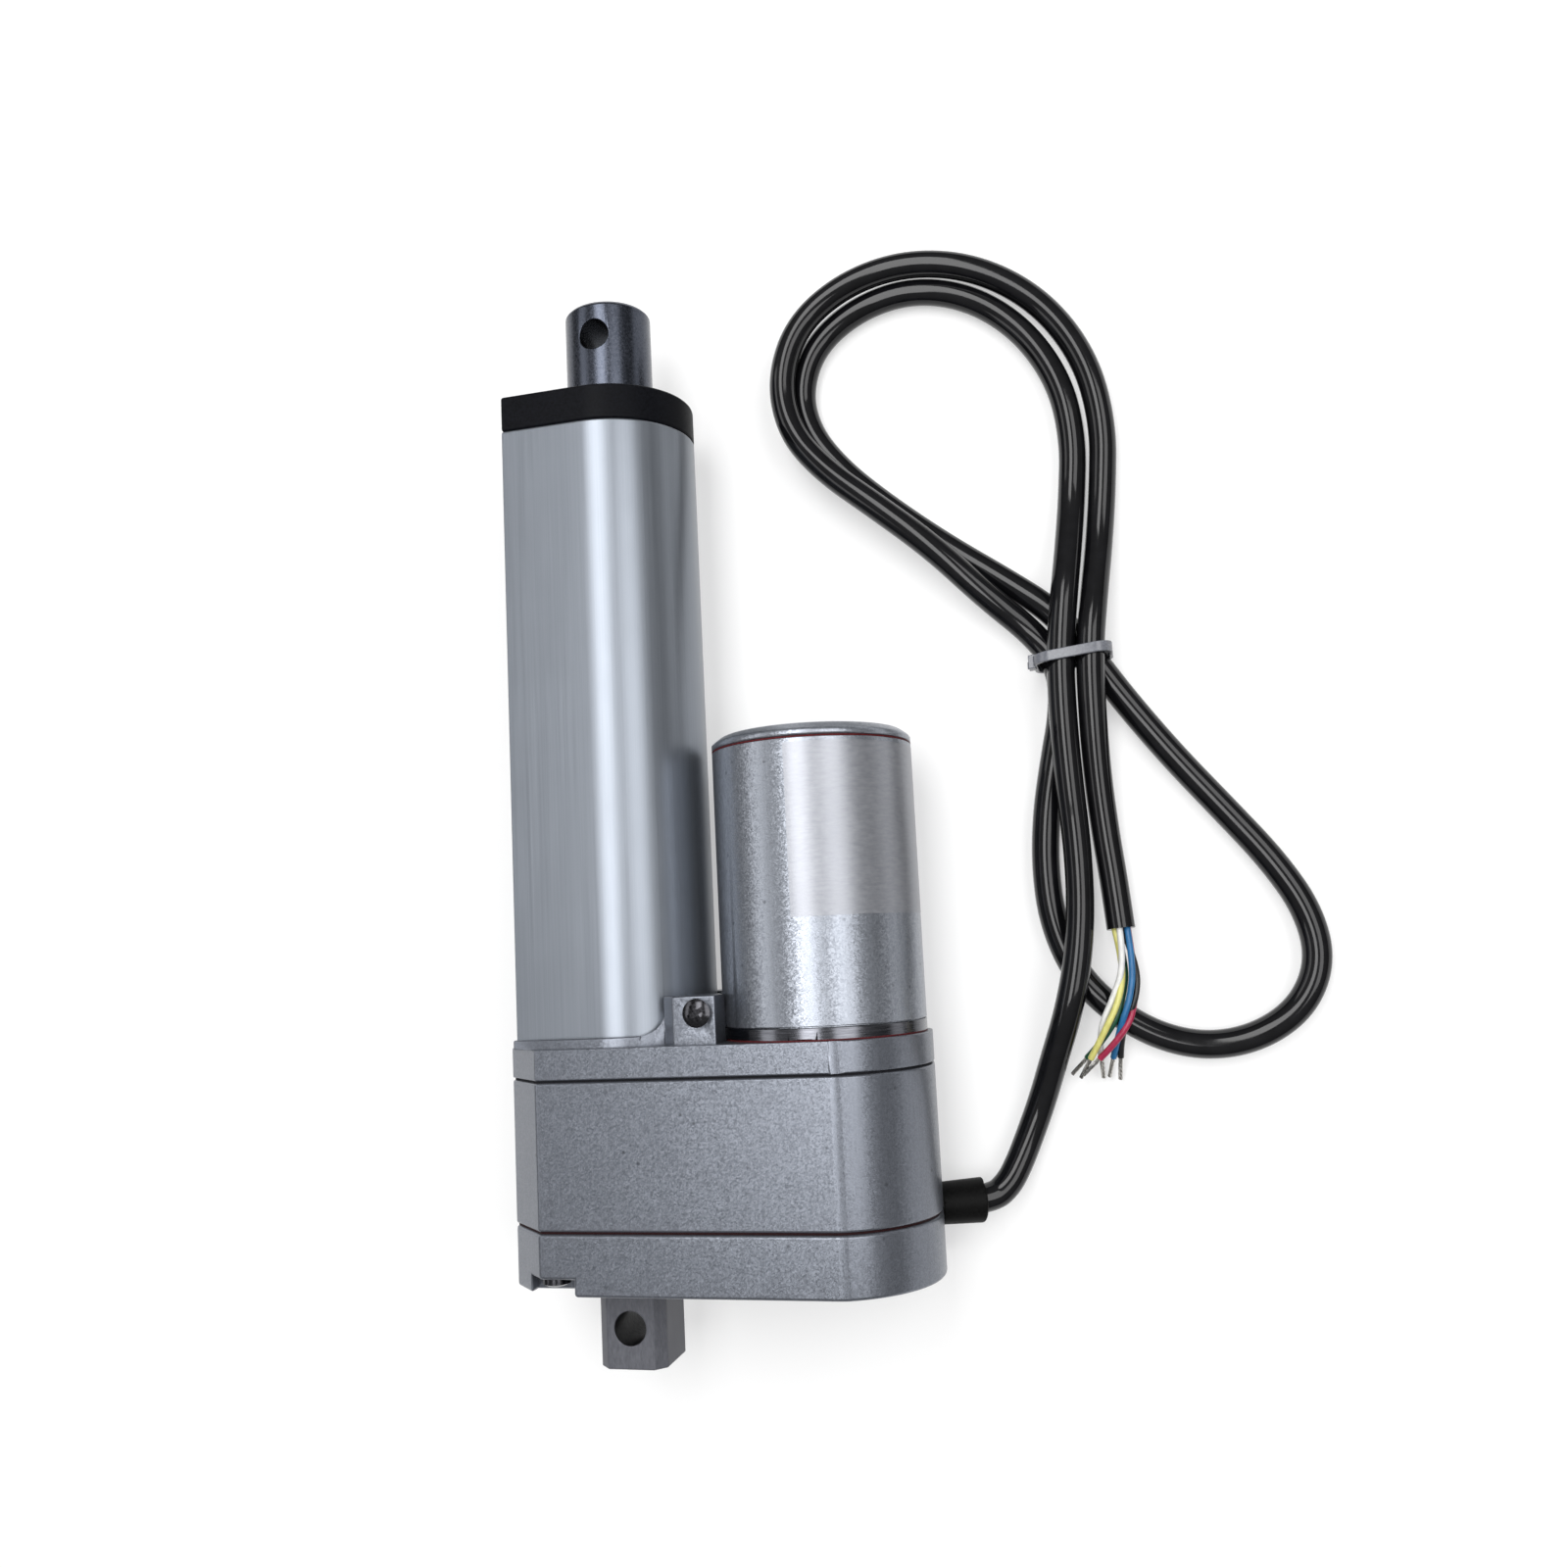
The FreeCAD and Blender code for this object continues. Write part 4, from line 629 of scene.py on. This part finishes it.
# %% Bare wire tips
STRANDS, STRAND_STEPS, STRAND_SIDES = 6, 14, 7
TIP_INSIDE = 0.4
TIP = {"Length": 5.4 * MM, "Twist Radius": 0.28 * MM, "Strand Radius": 0.17 * MM, "Turns": 0.9,
       "Finish": tinned_copper}
tip_tree, tip_in, tip_out = new_tree("twisted_tip", {
    "Length": "Float", "Twist Radius": "Float", "Strand Radius": "Float", "Turns": "Float",
    "Finish": "Material"})
strand = add(tip_tree, "GeometryNodeCurveSpiral",
             {"Resolution": STRAND_STEPS, "Rotations": tip_in["Turns"], "Height": tip_in["Length"],
              "Start Radius": tip_in["Twist Radius"], "End Radius": tip_in["Twist Radius"]})
round_section = add(tip_tree, "GeometryNodeCurvePrimitiveCircle",
                    {"Resolution": STRAND_SIDES, "Radius": tip_in["Strand Radius"]})
strand_mesh = add(tip_tree, "GeometryNodeCurveToMesh",
                  {"Curve": strand.outputs[0], "Profile Curve": round_section.outputs[0], "Fill Caps": True})
one_spot = add(tip_tree, "GeometryNodeMeshLine", {"Count": STRANDS, "Offset": (0, 0, 0)})
number = add(tip_tree, "GeometryNodeInputIndex").outputs[0]
strand_turn = reckon(tip_tree, "MULTIPLY", number, math.tau / STRANDS)
tip = add(tip_tree, "GeometryNodeInstanceOnPoints",
          {"Points": one_spot.outputs[0], "Instance": strand_mesh.outputs[0],
           "Rotation": upward(tip_tree, strand_turn)})
real_tip = add(tip_tree, "GeometryNodeRealizeInstances", {"Geometry": tip.outputs[0]}).outputs[0]
close_tree(tip_tree, tip_in["Geometry"], real_tip, tip_in["Finish"], tip_out)
bare_tips = grown("bare_tips", tip_tree, [end - way * TIP_INSIDE for end, way in wire_ends],
                  [way for end, way in wire_ends], TIP, sharp=50)
stand_in(bare_tips, "tinned_copper", "wire_tips")

# %% [markdown]
# ## Cable tie
# A grey nylon strap goes round the four runs of cable, a little askew, and locks in a small head.
# It could be extruded by hand, but the strap follows a rule: a flat section along a rounded rectangle.
# A tree sweeps it, and the shear is one Set Position: the further right, the further up the cable.

# %% Cable tie tree
CORNER_STEPS = 7
TAIL_LEAN = 0.5
tie_tree, tie_in, tie_out = new_tree("cable_tie_loop", {
    "Across": "Float", "High": "Float", "Corner": "Float", "Strap Width": "Float",
    "Strap Thickness": "Float", "Skew": "Float", "Head Size": "Vector", "Head Place": "Vector",
    "Tail Size": "Vector", "Tail Place": "Vector", "Finish": "Material"})
frame_line = add(tie_tree, "GeometryNodeCurvePrimitiveQuadrilateral",
                 {"Width": tie_in["Across"], "Height": tie_in["High"]})
rounded_line = add(tie_tree, "GeometryNodeFilletCurve",
                   {"Curve": frame_line.outputs[0], "Radius": tie_in["Corner"], "Count": CORNER_STEPS},
                   mode="POLY")
flat_section = add(tie_tree, "GeometryNodeCurvePrimitiveQuadrilateral",
                   {"Width": tie_in["Strap Thickness"], "Height": tie_in["Strap Width"]})
strap = add(tie_tree, "GeometryNodeCurveToMesh",
            {"Curve": rounded_line.outputs[0], "Profile Curve": flat_section.outputs[0]})
head = add(tie_tree, "GeometryNodeMeshCube", {"Size": tie_in["Head Size"]})
tail = add(tie_tree, "GeometryNodeMeshCube", {"Size": tie_in["Tail Size"]})
tie_parts = joined(tie_tree, strap.outputs[0], moved(tie_tree, head.outputs[0], tie_in["Head Place"]),
                   moved(tie_tree, tail.outputs[0], tie_in["Tail Place"], (0, 0, TAIL_LEAN)))
spot = add(tie_tree, "GeometryNodeInputPosition").outputs[0]
to_the_right = add(tie_tree, "ShaderNodeSeparateXYZ", {0: spot}).outputs["X"]
slide = reckon(tie_tree, "MULTIPLY", to_the_right, tie_in["Skew"])
slide_vector = add(tie_tree, "ShaderNodeCombineXYZ", {"Y": slide}).outputs[0]
askew = add(tie_tree, "GeometryNodeSetPosition",
            {"Geometry": moved(tie_tree, tie_parts, turn=(math.pi / 2, 0, 0)), "Offset": slide_vector})
close_tree(tie_tree, tie_in["Geometry"], askew.outputs[0], tie_in["Finish"], tie_out)
print("tie tree has", len(tie_tree.nodes), "nodes")

# %% Cable tie
TIE_LEFT, TIE_RIGHT, TIE_LOW, TIE_HIGH = 86.95, 101.35, -19.4, -7.5
TIE_PLACE, TIE_WIDTH, TIE_THICKNESS, TIE_CORNER, TIE_SKEW = 129.5, 2.1, 0.8, 3.2, 0.098
TIE_HEAD, HEAD_OUT, HEAD_UP = Vector((1.5, 3.2, 2.8)), 1.0, 2.2
TIE_TAIL, TAIL_OUT, TAIL_UP = Vector((0.8, 3.2, 1.6)), 1.1, -1.2
TIE_EDGE, EDGE_STEPS = 0.15, 2
tie_middle = Vector(((TIE_LEFT + TIE_RIGHT) / 2, TIE_PLACE, (TIE_LOW + TIE_HIGH) / 2))
tie_side = TIE_LEFT - tie_middle.x
tie = grown("strap_tie", tie_tree, [tie_middle], [(0, 0, 1)], {
    "Across": (TIE_RIGHT - TIE_LEFT + TIE_THICKNESS) * MM, "High": (TIE_HIGH - TIE_LOW + TIE_THICKNESS) * MM,
    "Corner": TIE_CORNER * MM, "Strap Width": TIE_WIDTH * MM, "Strap Thickness": TIE_THICKNESS * MM,
    "Head Size": TIE_HEAD * MM, "Head Place": Vector((tie_side - HEAD_OUT, HEAD_UP, 0)) * MM,
    "Tail Size": TIE_TAIL * MM, "Tail Place": Vector((tie_side - TAIL_OUT, TAIL_UP, 0)) * MM,
    "Skew": TIE_SKEW, "Finish": tie_nylon}, sharp=35)
soft_edge = tie.modifiers.new("soft_edge", "BEVEL")
soft_edge.width = TIE_EDGE * MM
soft_edge.segments = EDGE_STEPS
as_plain_mesh(tie)
stand_in(tie, "tie_nylon", "cable_tie")

# %% [markdown]

# %% [markdown]
# ## Softened castings and mouldings
# No real casting or moulding has a knife edge, and the thin highlight on its rounded edges shows its form.
# A Bevel on every edge would also round hidden edges and waste faces.
# So each edge is tried first: a ray leaves it outwards, and only an edge from which it gets away is rounded.
# Where the castings' flat face turns into their round end, a faint crease is rolled off more widely.

# %% Helpers for softened pieces
CORNER_ANGLES = (30, 180)
CREASE_ANGLES = (9, 30)
CREASE_LENGTH = 3.0
RAY_START, RAY_REACH = 0.2, 250
MERGE_DISTANCE, FLAT_ANGLE = 0.001, 0.5
SHARP_ANGLE = math.radians(40)


def all_surfaces():
    """One search tree with the triangles of every CAD piece."""
    corners, faces = [], []
    for node in nodes.values():
        start = len(corners)
        corners.extend(vertex.co for vertex in node.data.vertices)
        faces.extend([start + corner for corner in face.vertices] for face in node.data.polygons)
    return BVHTree.FromPolygons(corners, faces)


def in_the_open(edge, angles):
    """Whether an edge is an outer corner, bent between two angles, from which a ray gets away."""
    if len(edge.link_faces) != 2 or not edge.is_convex:
        return False
    if not angles[0] <= math.degrees(edge.calc_face_angle()) <= angles[1]:
        return False
    outward = (edge.link_faces[0].normal + edge.link_faces[1].normal).normalized()
    middle = (edge.verts[0].co + edge.verts[1].co) / 2
    return surfaces.ray_cast(middle + outward * RAY_START * MM, outward, RAY_REACH * MM)[0] is None


def round_off(edit, width, shortest, angles):
    """Rounds the open edges that are long enough, in three steps; returns how many there were."""
    edges = [edge for edge in edit.edges
             if width and edge.calc_length() > shortest * MM and in_the_open(edge, angles)]
    if edges:
        bmesh.ops.bevel(edit, geom=edges, offset=width * MM, offset_type="OFFSET", segments=3, profile=0.5,
                        affect="EDGES", clamp_overlap=False)
    edit.normal_update()
    return len(edges)


def softened(name, node_name, width, slot, body="housing", shortest=0.0, crease=0.0):
    """A copy of a CAD piece with merged corners, rounded outer edges and even shading."""
    edit = bmesh.new()
    edit.from_mesh(nodes[node_name].data)
    bmesh.ops.remove_doubles(edit, verts=edit.verts, dist=MERGE_DISTANCE * MM)
    bmesh.ops.dissolve_limit(edit, angle_limit=math.radians(FLAT_ANGLE), verts=edit.verts, edges=edit.edges)
    edit.normal_update()
    creases = round_off(edit, crease, CREASE_LENGTH, CREASE_ANGLES)
    corners = round_off(edit, width, shortest, CORNER_ANGLES)
    mesh = bpy.data.meshes.new(name)
    edit.to_mesh(mesh)
    edit.free()
    mesh.materials.clear()
    mesh.materials.append(nodes[node_name].data.materials[0])
    mesh.shade_smooth()
    mesh.set_sharp_from_angle(angle=SHARP_ANGLE)
    piece = new_object(name, mesh)
    even = piece.modifiers.new("even_shading", "WEIGHTED_NORMAL")
    even.keep_sharp = True
    as_plain_mesh(piece)
    stand_in(piece, slot, node_name, body=body)
    print(name, "rounded edges:", corners, "creases:", creases, "faces:", len(piece.data.polygons))


# %% Softened pieces
surfaces = all_surfaces()
softened("soft_front_housing", "front_housing", 0.3, "silver_paint", shortest=1.0, crease=1.0)
softened("soft_gear_housing", "gear_housing", 0.5, "silver_paint", crease=1.0)
softened("soft_rear_cover", "rear_cover", 0.7, "silver_paint", crease=1.0)
softened("soft_clevis", "rear_clevis", 0.4, "raw_casting")
softened("soft_front_cap", "front_cap", 0.6, "black_plastic")
softened("soft_tube", "outer_tube", 0.5, "anodised_tube")
softened("soft_rod_end", "rod_end", 0.25, "bright_rod", body="rod")
softened("soft_rod_tube", "rod_tube", 0.0, "bright_rod", body="rod")
softened("soft_motor_sleeve", "motor_sleeve", 0.15, "motor_paint")
softened("soft_motor_cap", "motor_end_cap", 0.5, "motor_paint")
softened("soft_motor_ring", "motor_base_ring", 0.2, "bright_ring")
softened("soft_gland", "cable_gland", 0.5, "gland_rubber")

# %% [markdown]
# ## Pan-head screws
# Two screws clamp the tube in its collar and four hold the rear cover: domed heads with a cross recess.
# They could be modelled once and copied by hand, but a tree keeps all six alike when a size changes.
# It domes a cylinder, cuts the recess with a Boolean and sets a copy on each point, facing its own way.

# %% Pan-head screw tree: the domed head
HEAD_SIDES, HEAD_RINGS, SHANK_SIDES = 40, 7, 20
DOME_POWER = 2.4
screw_tree, screw_in, screw_out = new_tree("pan_screw", {
    "Head Radius": "Float", "Head Side": "Float", "Dome": "Float", "Recess Bar": "Vector",
    "Recess Turn": "Float", "Shank Radius": "Float", "Shank Length": "Float", "Finish": "Material"})
blank = add(screw_tree, "GeometryNodeMeshCylinder",
            {"Vertices": HEAD_SIDES, "Side Segments": 1, "Fill Segments": HEAD_RINGS,
             "Radius": screw_in["Head Radius"], "Depth": screw_in["Head Side"]}, fill_type="TRIANGLE_FAN")
spot = add(screw_tree, "GeometryNodeInputPosition").outputs[0]
share = reckon(screw_tree, "DIVIDE", from_z_axis(screw_tree, spot), screw_in["Head Radius"])
fall = reckon(screw_tree, "POWER", share, DOME_POWER)
rise = reckon(screw_tree, "MULTIPLY", reckon(screw_tree, "SUBTRACT", 1.0, fall), screw_in["Dome"])
height = add(screw_tree, "ShaderNodeSeparateXYZ", {0: spot}).outputs["Z"]
on_top = add(screw_tree, "FunctionNodeCompare", {0: height, 1: 0.0}, operation="GREATER_THAN").outputs[0]
domed = add(screw_tree, "GeometryNodeSetPosition",
            {"Geometry": blank.outputs["Mesh"], "Selection": on_top, "Offset": upward(screw_tree, rise)})
half_side = reckon(screw_tree, "MULTIPLY", screw_in["Head Side"], 0.5)
head = moved(screw_tree, domed.outputs[0], upward(screw_tree, half_side))
print("a domed head takes", len(screw_tree.nodes), "nodes")

# %% Pan-head screw tree: recess and shank
bar = add(screw_tree, "GeometryNodeMeshCube", {"Size": screw_in["Recess Bar"]}).outputs["Mesh"]
bar_place = upward(screw_tree, reckon(screw_tree, "ADD", screw_in["Head Side"], screw_in["Dome"]))
cut = add(screw_tree, "GeometryNodeMeshBoolean", {"Mesh 1": head}, operation="DIFFERENCE", solver="EXACT")
cut.inputs["Self Intersection"].default_value = True
for quarter in (0.0, math.pi / 2):
    bar_turn = upward(screw_tree, reckon(screw_tree, "ADD", screw_in["Recess Turn"], quarter))
    screw_tree.links.new(moved(screw_tree, bar, bar_place, bar_turn), cut.inputs["Mesh 2"])
shank = add(screw_tree, "GeometryNodeMeshCylinder",
            {"Vertices": SHANK_SIDES, "Radius": screw_in["Shank Radius"], "Depth": screw_in["Shank Length"]})
shank_drop = reckon(screw_tree, "MULTIPLY", screw_in["Shank Length"], -0.5)
low_shank = moved(screw_tree, shank.outputs["Mesh"], upward(screw_tree, shank_drop))
whole_screw = joined(screw_tree, cut.outputs[0], low_shank)
close_tree(screw_tree, screw_in["Geometry"], whole_screw, screw_in["Finish"], screw_out)
print("a whole screw takes", len(screw_tree.nodes), "nodes")

# %% Pan-head screws
CLAMP_SPOTS, CLAMP_WAYS = [(20.3, 61.5, 18.2), (20.3, 61.5, -18.2)], [(0, 0, 1), (0, 0, -1)]
REAR_SPOTS = [(-11.0, 12.2, 16.861), (-11.0, 12.2, -16.861), (48.85, 12.0, 13.77), (48.85, 12.0, -13.77)]
REAR_WAY = (0, -1, 0)
CLAMP_SHANK, REAR_SHANK = 8.6, 41.0
CLAMP_TURN, REAR_TURN = 0.5, 0.3
SCREW = {"Head Radius": 2.75 * MM, "Head Side": 1.2 * MM, "Dome": 0.7 * MM, "Shank Radius": 1.4 * MM,
         "Recess Bar": Vector((3.4, 0.95, 2.2)) * MM, "Finish": dark_screw}
clamp_screws = grown("clamp_screws", screw_tree, CLAMP_SPOTS, CLAMP_WAYS,
                     {**SCREW, "Recess Turn": CLAMP_TURN, "Shank Length": CLAMP_SHANK * MM}, sharp=32)
stand_in(clamp_screws, "dark_screw", "tube_clamp_screws")
rear_screws = grown("rear_screws", screw_tree, REAR_SPOTS, [REAR_WAY] * len(REAR_SPOTS),
                    {**SCREW, "Recess Turn": REAR_TURN, "Shank Length": REAR_SHANK * MM}, sharp=32)
stand_in(rear_screws, "dark_screw", "cover_screws")

# %% [markdown]
# ## Motor label
# A strip of plain foil is stuck round the motor's right side.
# It could be a patch of another finish on the sleeve, but a real strip has an edge that catches the light.
# So it is a thin closed sheet just outside the sleeve, built from two arcs.

# %% Motor label
LABEL_CENTRE, LABEL_INNER, LABEL_OUTER = 40.9, 20.31, 20.38
LABEL_FROM, LABEL_TO, LABEL_STEPS = -2.5, 95.0, 60
LABEL_LOW, LABEL_HIGH = 78.7, 111.9
LABEL_SECTION = [(LABEL_INNER, LABEL_LOW), (LABEL_INNER, LABEL_HIGH),
                 (LABEL_OUTER, LABEL_HIGH), (LABEL_OUTER, LABEL_LOW)]
label_mesh = bmesh.new()
rings = []
for step in range(LABEL_STEPS + 1):
    turn = math.radians(LABEL_FROM + (LABEL_TO - LABEL_FROM) * step / LABEL_STEPS)
    outward = Vector((math.sin(turn), 0, math.cos(turn)))
    rings.append([label_mesh.verts.new((Vector((LABEL_CENTRE, along, 0)) + outward * reach) * MM)
                  for reach, along in LABEL_SECTION])
for ring, next_ring in zip(rings, rings[1:]):
    for corner in range(len(LABEL_SECTION)):
        label_mesh.faces.new((ring[corner - 1], ring[corner], next_ring[corner], next_ring[corner - 1]))
label_mesh.faces.new(rings[0])
label_mesh.faces.new(reversed(rings[-1]))
bmesh.ops.recalc_face_normals(label_mesh, faces=label_mesh.faces)
label_data = bpy.data.meshes.new("blank_label")
label_mesh.to_mesh(label_data)
label_mesh.free()
label_data.materials.append(label_foil)
label_data.shade_smooth()
label_data.set_sharp_from_angle(angle=SHARP_ANGLE)
label = new_object("blank_label", label_data)
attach(label, "housing")
print("label faces:", len(label_data.polygons))

# %% [markdown]
# ## Floor
# The actuator lies on a white table.
# A white floor under enough light would do, but it throws that light back on the part's sides.
# So the floor is a mid grey that takes the shadow, with a glow that only the camera, metal and glass see.

# %% Floor
FLOOR_HALF = 3.0
FLOOR_MIDDLE = (0.06, 0.1)
FLOOR_TONE, FLOOR_ROUGHNESS, FLOOR_GLOW = 0.5, 0.9, 0.47
bpy.ops.mesh.primitive_plane_add(size=2 * FLOOR_HALF, location=(*FLOOR_MIDDLE, cad_low.z))
floor = bpy.context.object
floor.name = "floor"
floor_white, floor_tree, floor_shader = new_finish("floor_white", metallic=0.0)
floor_shader["Base Color"].default_value = (FLOOR_TONE, FLOOR_TONE, FLOOR_TONE, 1)
floor_shader["Roughness"].default_value = FLOOR_ROUGHNESS
floor_shader["Emission Color"].default_value = (1, 1, 1, 1)
rays = add(floor_tree, "ShaderNodeLightPath").outputs
seen = reckon(floor_tree, "MAXIMUM", rays["Is Camera Ray"], rays["Is Glossy Ray"])
seen_through = reckon(floor_tree, "MAXIMUM", seen, rays["Is Transmission Ray"])
glow = reckon(floor_tree, "MULTIPLY", seen_through, FLOOR_GLOW)
floor_tree.links.new(glow, floor_shader["Emission Strength"])
floor.data.materials.append(floor_white)
print("floor lies at", round(cad_low.z, 4))

# %% [markdown]
# ## Sky and lamps
# Three broad soft lamps light the actuator: one overhead, one on the left and one on the motor's side.
# One big lamp would be simpler, but curved metal shows its form by bright bands with darker ones between.
# The world is a plain grey sky that is darker towards the horizon, for the same reason.

# %% Sky and lamps
SKY_SPAN, SKY_LEVELS = (0.0, 0.9), (0.12, 0.4)
LAMP_TARGET = Vector((0.04, 0.1, 0.0))
world = bpy.data.worlds.new("grey_sky")
scene.world = world
world.use_nodes = True
sky_tree = world.node_tree
sky = sky_tree.nodes["Background"].inputs
direction = add(sky_tree, "ShaderNodeTexCoord").outputs["Generated"]
height = add(sky_tree, "ShaderNodeSeparateXYZ", {0: direction}).outputs["Z"]
sky["Color"].default_value = (1, 1, 1, 1)
sky_tree.links.new(map_range(sky_tree, height, SKY_SPAN, SKY_LEVELS), sky["Strength"])


def soft_lamp(name, spot, power, along, across):
    """A rectangular lamp at a place, facing the part; its sides run along Y and across it."""
    data = bpy.data.lights.new(name, "AREA")
    data.shape = "RECTANGLE"
    data.size = along
    data.size_y = across
    data.energy = power
    lamp = new_object(name, data)
    toward_lamp = (Vector(spot) - LAMP_TARGET).normalized()
    lamp_along = Vector((0, 1, 0))
    lamp_along = (lamp_along - toward_lamp * lamp_along.dot(toward_lamp)).normalized()
    lamp_axes = Matrix((lamp_along, toward_lamp.cross(lamp_along), toward_lamp)).transposed()
    lamp.matrix_world = Matrix.Translation(Vector(spot)) @ lamp_axes.to_4x4()


soft_lamp("over_lamp", (-0.02, 0.28, 0.78), power=5.0, along=0.9, across=0.3)
soft_lamp("left_lamp", (-0.7, 0.25, 0.55), power=1.6, along=0.9, across=0.3)
soft_lamp("side_lamp", (0.55, 0.2, 0.72), power=3.6, along=0.8, across=0.4)
scene.view_settings.view_transform = "Standard"
print("lamps:", [lamp.name for lamp in bpy.data.lights])
